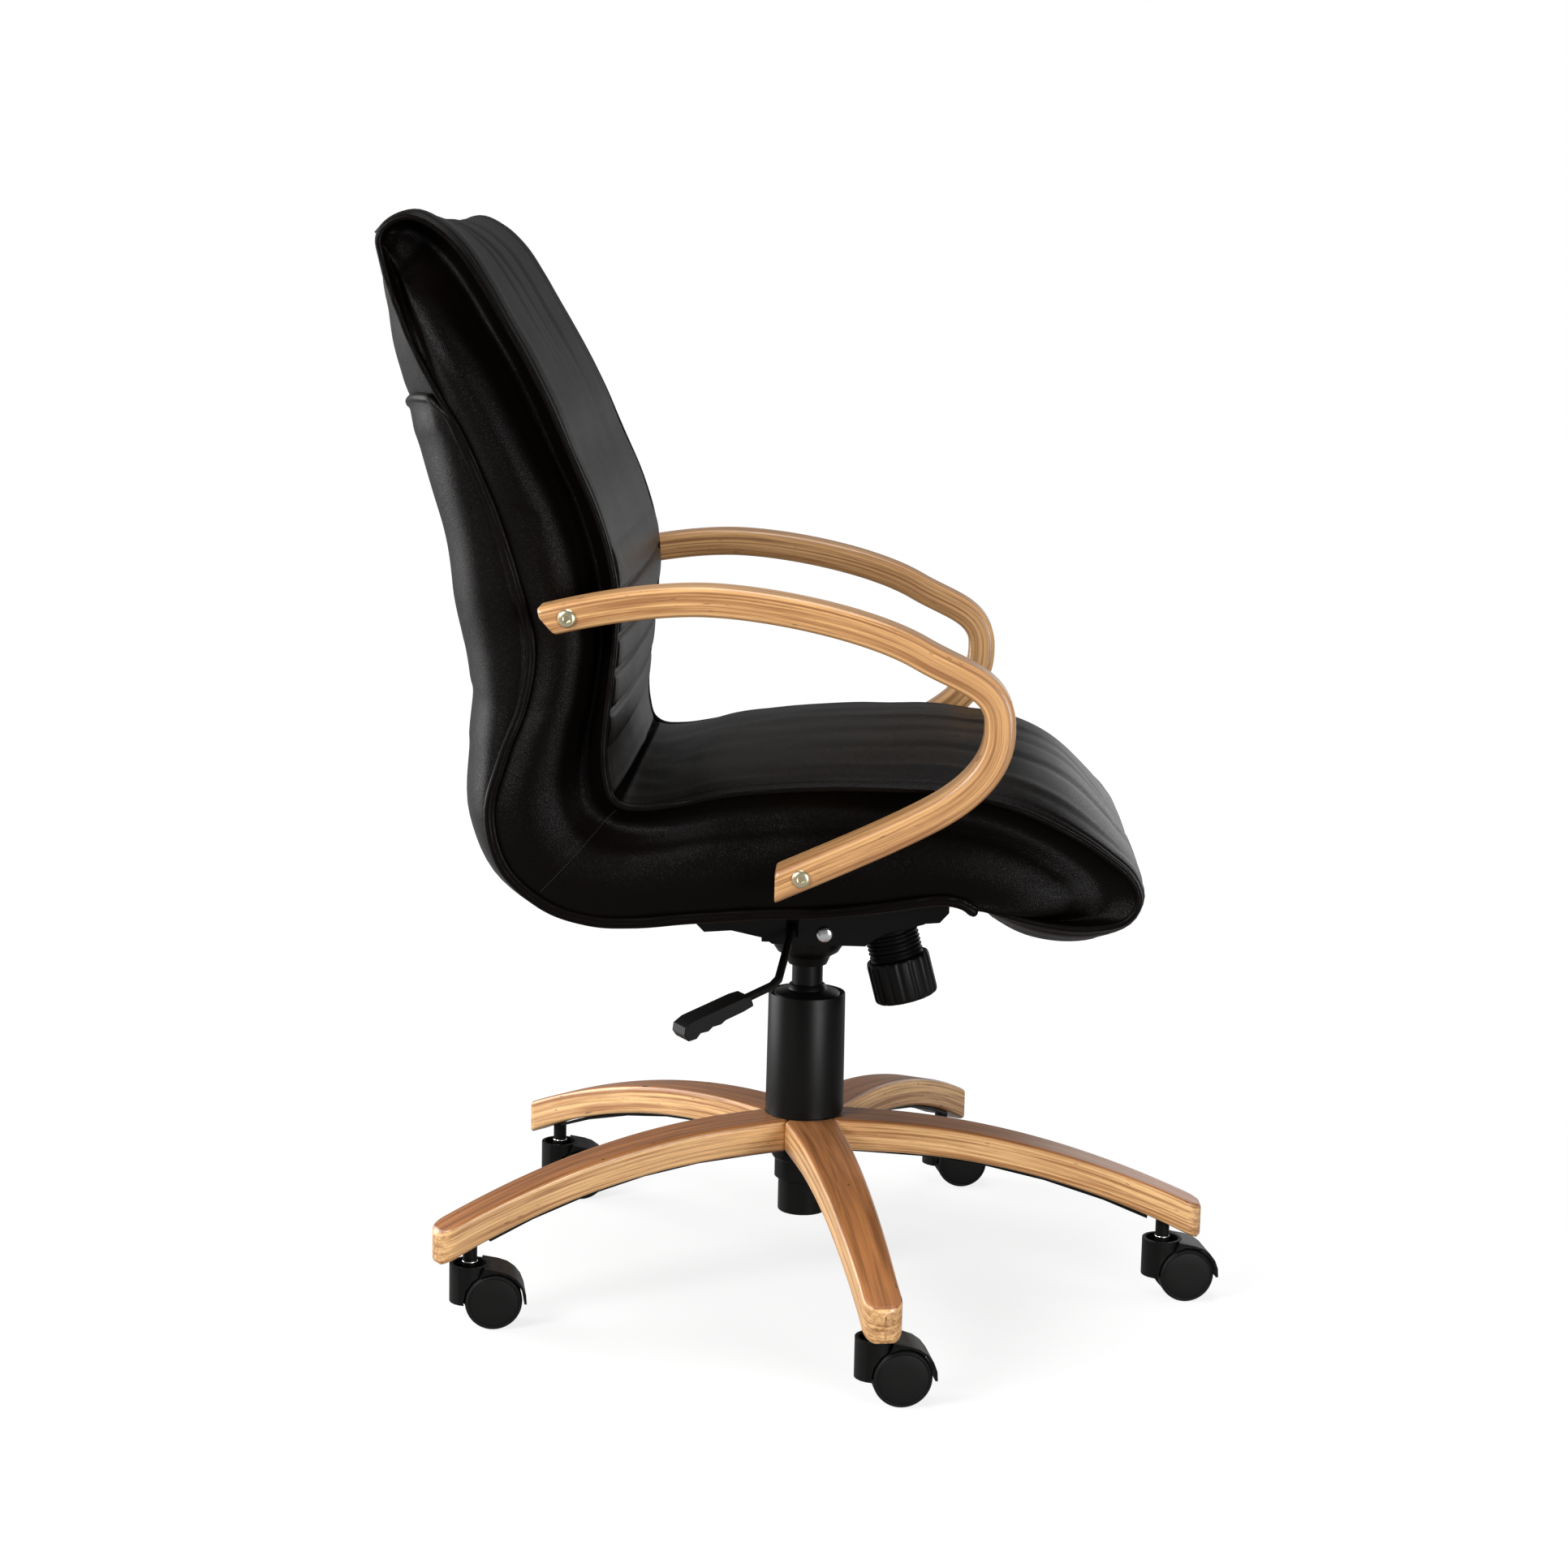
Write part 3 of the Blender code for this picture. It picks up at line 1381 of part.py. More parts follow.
def make_arms():
    section = arm_section()
    for side, word in ((1, "left"), (-1, "right")):
        curve = bpy.data.curves.new("arm", "CURVE")
        curve.dimensions = "3D"
        curve.twist_mode = "Z_UP"
        curve.bevel_mode = "OBJECT"
        curve.bevel_object = section
        curve.use_fill_caps = True
        curve.resolution_u = 5
        spline = curve.splines.new("BEZIER")
        spline.bezier_points.add(len(arm_path) - 1)
        for point, (centre, before, after) in zip(spline.bezier_points, arm_path):
            point.handle_left_type = "FREE"
            point.handle_right_type = "FREE"
            point.co = (centre[0], centre[1] + pivot_height, 0)
            point.handle_left = (before[0], before[1] + pivot_height, 0)
            point.handle_right = (after[0], after[1] + pivot_height, 0)
        curve.materials.append(arm_wood)
        arm = place(bpy.data.objects.new(f"arm_{word}", curve))
        middle = side * (arm_inner_face + arm_width / 2)
        arm.matrix_world = Matrix.Translation((middle, 0, 0)) @ side_view
        arm = meshed(arm)
        far = 0.4
        cut(arm, box("arm_foot_end", (-far, -arm_foot_cut, pivot_height), (far, 0.1, pivot_height + 0.15)))
        outer = arm_inner_face + arm_width
        for spot, place_name in ((arm_rear_screw, "rear"), (arm_foot_screw, "front")):
            cut(arm, screw_cutter(spot, side))
            forward, height = spot
            length = outer - shell_half_width - touch_gap - 0.001
            head = arm_screw_head_height
            screw = turned(
                f"arm_screw_{place_name}_{word}",
                [
                    (0, head - hex_recess_depth), (hex_recess_radius, head - hex_recess_depth),
                    (hex_recess_radius, head),
                    (arm_screw_head_radius * 0.7, head * 0.8), (arm_screw_head_radius, touch_gap),
                    (arm_screw_radius, touch_gap), (arm_screw_radius, -length), (0, -length),
                ],
                zinc,
                12,
            )
            spot_at = at(side * outer, forward, height + pivot_height)
            lay = Matrix.Rotation(math.radians(90 * side), 4, "Y")
            screw.matrix_world = Matrix.Translation(spot_at) @ lay
            carry(tilt_joint, screw)
        carry(tilt_joint, arm)


make_casters()
for leg in range(leg_count):
    make_leg(leg)
make_hub()
make_lift()
make_column_covers()
make_housing()
make_pivot_pin()
make_tension_set()
make_lever()
make_seat_plate()
make_shell()
make_pad()
make_outer_cover()
make_arms()
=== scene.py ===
import json
import math

import bmesh
import bpy
import numpy as np
from mathutils import Matrix, Vector


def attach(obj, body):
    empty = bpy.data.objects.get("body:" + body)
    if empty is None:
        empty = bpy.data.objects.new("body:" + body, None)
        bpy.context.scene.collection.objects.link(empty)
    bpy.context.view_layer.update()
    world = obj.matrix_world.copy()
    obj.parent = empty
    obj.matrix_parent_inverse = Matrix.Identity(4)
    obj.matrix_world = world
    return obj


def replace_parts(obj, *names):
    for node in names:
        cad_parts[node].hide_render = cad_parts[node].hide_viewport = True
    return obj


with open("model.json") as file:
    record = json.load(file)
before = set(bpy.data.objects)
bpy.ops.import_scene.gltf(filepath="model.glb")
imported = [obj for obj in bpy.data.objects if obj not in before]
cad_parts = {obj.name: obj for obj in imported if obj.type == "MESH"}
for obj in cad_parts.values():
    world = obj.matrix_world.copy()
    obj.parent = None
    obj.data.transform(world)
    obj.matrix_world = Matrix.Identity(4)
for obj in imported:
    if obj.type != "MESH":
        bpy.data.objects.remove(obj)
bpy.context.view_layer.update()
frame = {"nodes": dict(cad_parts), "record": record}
nodes = frame["nodes"]
bodyOf = {node: body for body, held in frame["record"]["behaviour"]["bodies"].items() for node in held}
print("frame loaded,", len(nodes), "nodes")


# Surfaces from numpy grids

# A point p at share t of a line through given points: cubic Hermite spans, each point's slope being the change
# between its neighbours over the length between them
def smoothLine(points, shares, lengths=None):
    points = np.asarray(points, float)
    if lengths is None:
        lengths = np.concatenate([[0], np.cumsum(np.linalg.norm(np.diff(points, axis=0), axis=1))])
        lengths = lengths / lengths[-1]
    slopes = np.gradient(points, lengths, axis=0)
    span = np.clip(np.searchsorted(lengths, shares, "right") - 1, 0, len(lengths) - 2)
    step = (lengths[span + 1] - lengths[span])[:, None]
    w = (shares - lengths[span])[:, None] / step
    return (
        (2 * w**3 - 3 * w**2 + 1) * points[span] + (w**3 - 2 * w**2 + w) * step * slopes[span]
        + (3 * w**2 - 2 * w**3) * points[span + 1] + (w**3 - w**2) * step * slopes[span + 1]
    )


def unit(vectors):
    return vectors / np.maximum(np.linalg.norm(vectors, axis=-1, keepdims=True), 1e-9)


def easeIn(x, low, high):  # 0 below low, 1 above high, smooth between
    w = np.clip((x - low) / (high - low), 0, 1)
    return w * w * (3 - 2 * w)


# A mesh from a (rows, columns, 3) array: a quad between each four neighbours, the last column joined to the first
# where wrapColumns is true. Points that coincide are merged, so a row drawn to one point closes an end, and the
# faces are turned outwards by the sign of the volume: a sixth of the sum of a . (b x c) over the triangles
def surface(name, grid, material, body, wrapColumns=True, grain=None, sharpDeg=38, link=True):
    rows, columns = grid.shape[:2]
    flat = np.ascontiguousarray(grid.reshape(-1, 3))
    merged, first, back = np.unique(np.round(flat, 6), axis=0, return_index=True, return_inverse=True)
    back = back.reshape(-1)
    r, c = np.meshgrid(np.arange(rows - 1), np.arange(columns if wrapColumns else columns - 1), indexing="ij")
    nextColumn = (c + 1) % columns
    quads = np.stack([r * columns + c, r * columns + nextColumn, (r + 1) * columns + nextColumn, (r + 1) * columns + c], -1)
    quads = back[quads.reshape(-1, 4)]
    same = quads == np.roll(quads, -1, axis=1)
    faces = quads[same.sum(1) == 0].tolist()
    for corner in range(4):
        fans = quads[(same.sum(1) == 1) & same[:, corner]]
        faces += np.delete(fans, corner, axis=1).tolist()
    points = flat[first]
    a, b, d = points[quads[:, 0]], points[quads[:, 1]], points[quads[:, 2]]
    e = points[quads[:, 3]]
    volume = (np.einsum("ij,ij->i", a, np.cross(b, d)) + np.einsum("ij,ij->i", a, np.cross(d, e))).sum()
    if volume < 0:
        faces = [face[::-1] for face in faces]
    mesh = bpy.data.meshes.new(name)
    mesh.from_pydata(points.tolist(), [], faces)
    if grain is not None:
        layer = mesh.attributes.new("grain", "FLOAT_VECTOR", "POINT")
        layer.data.foreach_set("vector", grain.reshape(-1, 3)[first].astype(np.float32).ravel())
    mesh.shade_smooth()
    mesh.set_sharp_from_angle(angle=math.radians(sharpDeg))
    mesh.materials.append(material)
    obj = bpy.data.objects.new(name, mesh)
    if link:
        bpy.context.scene.collection.objects.link(obj)
        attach(obj, body)
    return obj


# Several finished meshes as one piece, when a part is made of more than one closed form
def gathered(name, parts, body):
    for part in parts:
        bpy.context.scene.collection.objects.link(part)
    bpy.ops.object.select_all(action="DESELECT")
    for part in parts:
        part.select_set(True)
    bpy.context.view_layer.objects.active = parts[0]
    if len(parts) > 1:
        bpy.ops.object.join()
    parts[0].name = name
    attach(parts[0], body)
    return parts[0]


# A ring of (across, up) for every row, a rectangle whose corners are quarter circles: corner centre + round *
# (cos, sin), and evenly shared points on the straight runs between
def roundedRing(halfWide, halfHigh, cornerRound, perCorner=6, perEdge=5):
    wide, high, r = (np.atleast_1d(np.asarray(v, float))[:, None] for v in (halfWide, halfHigh, cornerRound))
    wide, high, r = np.broadcast_arrays(wide, high, r)
    corners = []
    for corner, (sx, sy) in enumerate(((1, 1), (-1, 1), (-1, -1), (1, -1))):
        angle = np.radians(corner * 90 + np.linspace(0, 90, perCorner))[None, :]
        corners.append(np.stack([sx * (wide - r) + r * np.cos(angle), sy * (high - r) + r * np.sin(angle)], -1))
    shares = np.linspace(0, 1, perEdge + 2)[1:-1][None, :, None]
    ring = []
    for corner in range(4):
        ring.append(corners[corner])
        start, end = corners[corner][:, -1:], corners[(corner + 1) % 4][:, :1]
        ring.append(start + (end - start) * shares)
    return np.concatenate(ring, axis=1)


# A round tube: path point + radius * (cos(a) * side + sin(a) * up), side and up being square to the path and
# taken from a hint direction; its ends are domed and drawn to a point, or it is a closed loop
def tube(name, path, radius, material, body, hint=(1, 0, 0), sides=10, loop=False, link=True):
    path = np.asarray(path, float)
    if loop:
        path = np.concatenate([path, path[:1]])
        along = unit(np.roll(path[:-1], -1, 0) - np.roll(path[:-1], 1, 0))
        along = np.concatenate([along, along[:1]])
    else:
        along = unit(np.gradient(path, axis=0))
    hint = np.broadcast_to(np.asarray(hint, float), (len(path) - 1 if loop else len(path), 3))
    hint = np.concatenate([hint, hint[:1]]) if loop else hint
    side = unit(np.cross(along, hint))
    up = np.cross(side, along)
    radii = np.full(len(path), radius)
    if not loop:
        path = np.concatenate([path[:1], path[:1], path, path[-1:], path[-1:]])
        path[0] -= along[0] * radius
        path[1] -= along[0] * radius * 0.7
        path[-1] += along[-1] * radius
        path[-2] += along[-1] * radius * 0.7
        side = np.concatenate([side[:1], side[:1], side, side[-1:], side[-1:]])
        up = np.concatenate([up[:1], up[:1], up, up[-1:], up[-1:]])
        radii = np.concatenate([[0, radius * 0.72], radii, [radius * 0.72, 0]])
    angle = np.arange(sides) / sides * math.tau
    ring = np.cos(angle)[None, :, None] * side[:, None] + np.sin(angle)[None, :, None] * up[:, None]
    return surface(name, path[:, None] + radii[:, None, None] * ring, material, body, sharpDeg=70, link=link)


# A turned form: every (radius, height) of the profile goes round the axis as radius * (cos(a), sin(a)), and a frame
# lays it in place
def turned(name, profile, material, body, place=None, steps=48, flutes=None, link=True, sharpDeg=38):
    profile = np.asarray(profile, float)
    angle = np.arange(steps) / steps * math.tau
    radius = np.repeat(profile[:, :1], steps, axis=1)
    if flutes is not None:
        radius = radius - flutes(angle)[None, :] * (profile[:, 2:3] if profile.shape[1] > 2 else 1)
    grid = np.stack([radius * np.cos(angle), radius * np.sin(angle), np.repeat(profile[:, 1:2], steps, axis=1)], -1)
    if place is not None:
        turn = np.array(place)
        grid = grid @ turn[:3, :3].T + turn[:3, 3]
    return surface(name, grid, material, body, link=link, sharpDeg=sharpDeg)


# Shader groups and materials

# A copy of a CAD node with its loose triangles merged, its flat faces joined and its sharp edges broken by a
# small rounding. With a lift (height, rise), every point under the height goes up by the rise
def eased(node, material, width=0.0006, sharpDeg=30, lift=None):
    shape = bmesh.new()
    shape.from_mesh(nodes[node].data)
    if lift is not None:
        low = [vert for vert in shape.verts if vert.co.z < lift[0]]
        bmesh.ops.translate(shape, verts=low, vec=(0, 0, lift[1]))
    bmesh.ops.remove_doubles(shape, verts=shape.verts, dist=2e-6)
    bmesh.ops.dissolve_limit(shape, angle_limit=math.radians(0.5), verts=shape.verts, edges=shape.edges)
    words = node.split("_")
    name = words[0] + "".join(word.capitalize() for word in words[1:])
    mesh = bpy.data.meshes.new(name)
    shape.to_mesh(mesh)
    shape.free()
    mesh.materials.clear()
    mesh.materials.append(material)
    mesh.shade_smooth()
    mesh.set_sharp_from_angle(angle=math.radians(sharpDeg))
    made = bpy.data.objects.new(name, mesh)
    bpy.context.scene.collection.objects.link(made)
    if width > 0:
        edge = made.modifiers.new("edge", "BEVEL")
        edge.width = width
        edge.segments = 2
        edge.limit_method = "ANGLE"
        edge.angle_limit = math.radians(sharpDeg)
        edge.harden_normals = True
    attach(made, bodyOf[node])
    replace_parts(made, node)
    return made


# A grid's points at fractional rows and columns, each the weighted mean of its four neighbours, and the outward
# directions there from the cross product of the grid's own slopes
def sampled(grid, rows, columns):
    slopeDown, slopeAcross = np.gradient(grid, axis=0), (np.roll(grid, -1, 1) - np.roll(grid, 1, 1)) / 2
    out = unit(np.cross(slopeAcross, slopeDown))
    r, c = np.floor(rows).astype(int), np.floor(columns).astype(int)
    r = np.clip(r, 0, grid.shape[0] - 2)
    u, v = (rows - r)[:, None], (columns - c)[:, None]
    nextColumn = (c + 1) % grid.shape[1]
    weights = ((1 - u) * (1 - v), (1 - u) * v, u * (1 - v), u * v)
    corners = ((r, c), (r, nextColumn), (r + 1, c), (r + 1, nextColumn))
    point = sum(w * grid[at] for w, at in zip(weights, corners))
    return point, unit(sum(w * out[at] for w, at in zip(weights, corners)))


# Stitches: short rounded capsules along a line, one each pitch: centre + t * x + (cos(a) * side + sin(a) * out) *
# radius * sqrt(1 - x^4), x running over the capsule's half length, its two ends drawn to points
def stitches(name, lines, pitch, length, radius, material, body):
    x = np.array([-1.0, -0.9, -0.4, 0.4, 0.9, 1.0])
    angle = np.arange(6) / 6 * math.tau
    girth = radius * np.sqrt(1 - x**4)
    points = []
    for line, out in lines:
        spacing = np.concatenate([[0], np.cumsum(np.linalg.norm(np.diff(line, axis=0), axis=1))])
        places = np.arange(pitch, spacing[-1] - pitch, pitch)
        centre, up = (np.stack([np.interp(places, spacing, v[:, k]) for k in range(3)], 1) for v in (line, out))
        along = unit(np.gradient(centre, axis=0))
        side = unit(np.cross(along, up))
        sink = up * radius * 0.25
        ring = np.cos(angle)[None, :, None] * side[:, None] + np.sin(angle)[None, :, None] * np.cross(side, along)[:, None]
        run = (centre + sink)[:, None, None] + along[:, None, None] * (x * length / 2)[None, :, None, None]
        points.append(run + ring[:, None] * girth[None, :, None, None])
    points = np.concatenate(points)
    count = len(points)
    r, c = np.meshgrid(np.arange(len(x) - 1), np.arange(6), indexing="ij")
    quad = np.stack([r * 6 + c, r * 6 + (c + 1) % 6, (r + 1) * 6 + (c + 1) % 6, (r + 1) * 6 + c], -1).reshape(-1, 4)
    quads = (quad[None] + (np.arange(count) * len(x) * 6)[:, None, None]).reshape(-1, 4)
    flat = points.reshape(-1, 3)
    merged, first, back = np.unique(np.round(flat, 6), axis=0, return_index=True, return_inverse=True)
    quads = back.reshape(-1)[quads]
    same = quads == np.roll(quads, -1, axis=1)
    faces = quads[same.sum(1) == 0].tolist()
    for corner in range(4):
        faces += np.delete(quads[(same.sum(1) == 1) & same[:, corner]], corner, axis=1).tolist()
    mesh = bpy.data.meshes.new(name)
    mesh.from_pydata(flat[first].tolist(), [], faces)
    mesh.shade_smooth()
    mesh.materials.append(material)
    made = bpy.data.objects.new(name, mesh)
    bpy.context.scene.collection.objects.link(made)
    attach(made, body)
    return made


def put(tree, kind, inputs=None, **settings):  # one node, its settings, and its inputs as values or links
    made = tree.nodes.new(kind)
    for key, value in settings.items():
        setattr(made, key, value)
    for key, value in (inputs or {}).items():
        if isinstance(value, bpy.types.NodeSocket):
            tree.links.new(value, made.inputs[key])
        else:
            made.inputs[key].default_value = value
    return made


def shaderGroup(name, inputs, outputs):
    tree = bpy.data.node_groups.new(name, "ShaderNodeTree")
    for key, (kind, value) in inputs.items():
        socket = tree.interface.new_socket(name=key, in_out="INPUT", socket_type=kind)
        if value is not None:
            socket.default_value = value
    for key, kind in outputs.items():
        tree.interface.new_socket(name=key, in_out="OUTPUT", socket_type=kind)
    return tree, put(tree, "NodeGroupInput").outputs, put(tree, "NodeGroupOutput").inputs


def math2(tree, operation, a, b=0.0, c=0.0, clamp=False):
    return put(tree, "ShaderNodeMath", {0: a, 1: b, 2: c}, operation=operation, use_clamp=clamp).outputs[0]


def ramp(tree, value, stops):
    made = put(tree, "ShaderNodeValToRGB", {0: value})
    band = made.color_ramp
    while len(band.elements) < len(stops):
        band.elements.new(0.5)
    for element, (position, color) in zip(band.elements, stops):
        element.position = position
        element.color = (*color, 1) if len(color) == 3 else color
    return made.outputs[0]


def mixColor(tree, share, a, b):  # the RGBA sockets of a Mix node have fixed places: 0 share, 6 and 7 colours
    return put(tree, "ShaderNodeMix", {0: share, 6: a, 7: b}, data_type="RGBA").outputs[2]


# Leather: pebbles from the distance to Voronoi cell edges on coordinates that a noise pushes about, finer creases
# between them from a second noise, and a slow change of sheen from a third
def makeLeatherGroup():
    tree, inner, outer = shaderGroup(
        "leatherGrain",
        {"Vector": ("NodeSocketVector", None), "Pebble": ("NodeSocketFloat", 0.0014), "Crease": ("NodeSocketFloat", 0.4)},
        {"Height": "NodeSocketFloat", "Tone": "NodeSocketFloat", "Sheen": "NodeSocketFloat"},
    )
    place = inner["Vector"]
    push = put(tree, "ShaderNodeTexNoise", {"Vector": place, "Scale": 380.0, "Detail": 2.0})
    pushed = put(tree, "ShaderNodeVectorMath", {0: push.outputs["Color"], 1: (0.0016, 0.0016, 0.0016)}, operation="MULTIPLY")
    moved = put(tree, "ShaderNodeVectorMath", {0: place, 1: pushed.outputs[0]}, operation="ADD")
    scale = math2(tree, "DIVIDE", 1.0, inner["Pebble"])
    cells = put(tree, "ShaderNodeTexVoronoi", {"Vector": moved.outputs[0], "Scale": scale}, feature="DISTANCE_TO_EDGE")
    pebbles = math2(tree, "SMOOTH_MIN", math2(tree, "MULTIPLY", cells.outputs["Distance"], 2.6), 1.0, 0.4)
    fine = put(tree, "ShaderNodeTexNoise", {"Vector": place, "Scale": 1500.0, "Detail": 3.0, "Roughness": 0.6})
    crease = put(tree, "ShaderNodeTexNoise", {"Vector": place, "Scale": 60.0, "Detail": 5.0, "Roughness": 0.55, "Distortion": 0.6})
    height = math2(tree, "ADD", math2(tree, "MULTIPLY", pebbles, 0.8), math2(tree, "MULTIPLY", fine.outputs[0], 0.35))
    lines = math2(tree, "ABSOLUTE", math2(tree, "SUBTRACT", crease.outputs[0], 0.5))
    tree.links.new(
        math2(tree, "ADD", height, math2(tree, "MULTIPLY", math2(tree, "MULTIPLY", lines, 4.0), inner["Crease"])),
        outer["Height"],
    )
    slow = put(tree, "ShaderNodeTexNoise", {"Vector": place, "Scale": 7.0, "Detail": 3.0})
    tree.links.new(slow.outputs[0], outer["Tone"])
    tree.links.new(math2(tree, "ADD", math2(tree, "MULTIPLY", pebbles, -0.08), math2(tree, "MULTIPLY", slow.outputs[0], 0.12)),
                   outer["Sheen"])
    return tree


# Laminated wood in unbent board coordinates (along, across, depth): fibres are a noise stretched along the board,
# plies a coarser one stretched along and across so that it bands with depth, pores are short dashes cut from a fine
# noise, and the face veneer replaces the plies where depth is under its thickness
def makeWoodGroup():
    tree, inner, outer = shaderGroup(
        "laminatedWood",
        {
            "Board": ("NodeSocketVector", None), "Pale": ("NodeSocketColor", None), "Dark": ("NodeSocketColor", None),
            "Veneer": ("NodeSocketColor", None), "Veneer depth": ("NodeSocketFloat", 0.001), "Ply": ("NodeSocketFloat", 0.0024),
            "Streak": ("NodeSocketFloat", 0.5), "Marks": ("NodeSocketFloat", 0.5),
        },
        {"Color": "NodeSocketColor", "Height": "NodeSocketFloat", "Rough": "NodeSocketFloat"},
    )
    board = inner["Board"]
    apart = put(tree, "ShaderNodeSeparateXYZ", {0: board})
    along, across, depth = apart.outputs

    def stretched(a, b, c, detail, roughness=0.6, distortion=0.0):
        vector = put(tree, "ShaderNodeCombineXYZ", {
            0: math2(tree, "MULTIPLY", along, a), 1: math2(tree, "MULTIPLY", across, b), 2: math2(tree, "MULTIPLY", depth, c)})
        return put(tree, "ShaderNodeTexNoise", {
            "Vector": vector.outputs[0], "Scale": 1.0, "Detail": detail, "Roughness": roughness, "Distortion": distortion}).outputs[0]

    fibre = stretched(9.0, 260.0, 420.0, 5.0, 0.62, 0.35)
    broad = stretched(2.2, 60.0, 90.0, 3.0, 0.5, 0.8)
    perPly = math2(tree, "DIVIDE", 1.0, inner["Ply"])
    plyPlace = put(tree, "ShaderNodeCombineXYZ", {
        0: math2(tree, "MULTIPLY", along, 1.1), 1: math2(tree, "MULTIPLY", across, 1.5), 2: math2(tree, "MULTIPLY", depth, perPly)})
    ply = put(tree, "ShaderNodeTexNoise", {"Vector": plyPlace.outputs[0], "Scale": 1.6, "Detail": 2.0}).outputs[0]
    mix = math2(tree, "ADD", math2(tree, "MULTIPLY", fibre, 0.45), math2(tree, "MULTIPLY", ply, 0.40))
    mix = math2(tree, "ADD", mix, math2(tree, "MULTIPLY", broad, 0.25))
    share = put(tree, "ShaderNodeMapRange", {0: mix, 1: 0.46, 2: 0.64, 3: 0.0, 4: 1.0}).outputs[0]
    share = math2(tree, "MULTIPLY", share, inner["Streak"])
    wood = mixColor(tree, share, inner["Pale"], inner["Dark"])
    pores = stretched(55.0, 1500.0, 1500.0, 2.0, 0.5)
    poreMask = put(tree, "ShaderNodeMapRange", {0: pores, 1: 0.60, 2: 0.70}).outputs[0]
    knots = stretched(70.0, 90.0, 520.0, 1.0, 0.4)
    markMask = put(tree, "ShaderNodeMapRange", {0: knots, 1: 0.745, 2: 0.775}).outputs[0]
    markMask = math2(tree, "MULTIPLY", markMask, inner["Marks"])
    # the face veneer has wider, plainer figure than the edges of the plies
    figure = put(tree, "ShaderNodeMapRange", {
        0: math2(tree, "ADD", math2(tree, "MULTIPLY", fibre, 0.75), math2(tree, "MULTIPLY", broad, 0.4)), 1: 0.46, 2: 0.70,
        3: 0.0, 4: 0.75}).outputs[0]
    face = mixColor(tree, figure, inner["Veneer"], (0.13, 0.046, 0.016, 1))
    isFace = math2(tree, "LESS_THAN", depth, inner["Veneer depth"])
    joined = mixColor(tree, isFace, wood, face)
    porous = mixColor(tree, math2(tree, "MULTIPLY", poreMask, 0.30), joined, (0.16, 0.075, 0.03, 1))
    tree.links.new(mixColor(tree, markMask, porous, (0.07, 0.03, 0.012, 1)), outer["Color"])
    tree.links.new(math2(tree, "SUBTRACT", math2(tree, "MULTIPLY", fibre, 0.6), math2(tree, "MULTIPLY", poreMask, 0.5)), outer["Height"])
    tree.links.new(math2(tree, "ADD", 0.30, math2(tree, "MULTIPLY", fibre, 0.16)), outer["Rough"])
    return tree


# Moulded or coated skin: a fine stipple for the height, and a slow noise that wanders the gloss and the colour a
# little, as handling and dust do
def makeSkinGroup():
    tree, inner, outer = shaderGroup(
        "fineSkin",
        {"Vector": ("NodeSocketVector", None), "Grain": ("NodeSocketFloat", 1400.0), "Base": ("NodeSocketColor", None),
         "Rough": ("NodeSocketFloat", 0.45), "Wander": ("NodeSocketFloat", 0.1)},
        {"Color": "NodeSocketColor", "Height": "NodeSocketFloat", "Rough": "NodeSocketFloat"},
    )
    fine = put(tree, "ShaderNodeTexNoise", {"Vector": inner["Vector"], "Scale": inner["Grain"], "Detail": 2.0}).outputs[0]
    slow = put(tree, "ShaderNodeTexNoise", {"Vector": inner["Vector"], "Scale": 22.0, "Detail": 4.0, "Roughness": 0.65}).outputs[0]
    tree.links.new(fine, outer["Height"])
    wander = math2(tree, "MULTIPLY", math2(tree, "SUBTRACT", slow, 0.5), inner["Wander"])
    tree.links.new(math2(tree, "ADD", inner["Rough"], wander, clamp=True), outer["Rough"])
    shade = put(tree, "ShaderNodeHueSaturation", {"Color": inner["Base"], "Value": math2(tree, "ADD", 1.0, wander)})
    tree.links.new(shade.outputs[0], outer["Color"])
    return tree


leatherGrain = makeLeatherGroup()
laminatedWood = makeWoodGroup()
fineSkin = makeSkinGroup()


def newMaterial(name):
    material = bpy.data.materials.new(name)
    material.use_nodes = True
    tree = material.node_tree
    return material, tree, tree.nodes["Principled BSDF"]


def leatherMaterial(name, color, roughness, pebble, crease, bump, coat):
    material, tree, shader = newMaterial(name)
    place = put(tree, "ShaderNodeTexCoord").outputs["Object"]
    grain = put(tree, "ShaderNodeGroup", node_tree=leatherGrain)
    tree.links.new(place, grain.inputs["Vector"])
    grain.inputs["Pebble"].default_value = pebble
    grain.inputs["Crease"].default_value = crease
    tone = ramp(tree, grain.outputs["Tone"], [(0.3, tuple(c * 0.82 for c in color)), (0.7, tuple(c * 1.15 for c in color))])
    tree.links.new(tone, shader.inputs["Base Color"])
    tree.links.new(math2(tree, "ADD", roughness, grain.outputs["Sheen"], clamp=True), shader.inputs["Roughness"])
    made = put(tree, "ShaderNodeBump", {"Height": grain.outputs["Height"], "Strength": 1.0, "Distance": bump})
    tree.links.new(made.outputs[0], shader.inputs["Normal"])
    shader.inputs["Specular IOR Level"].default_value = 0.07
    shader.inputs["Coat Weight"].default_value = coat
    shader.inputs["Coat Roughness"].default_value = 0.32
    return material


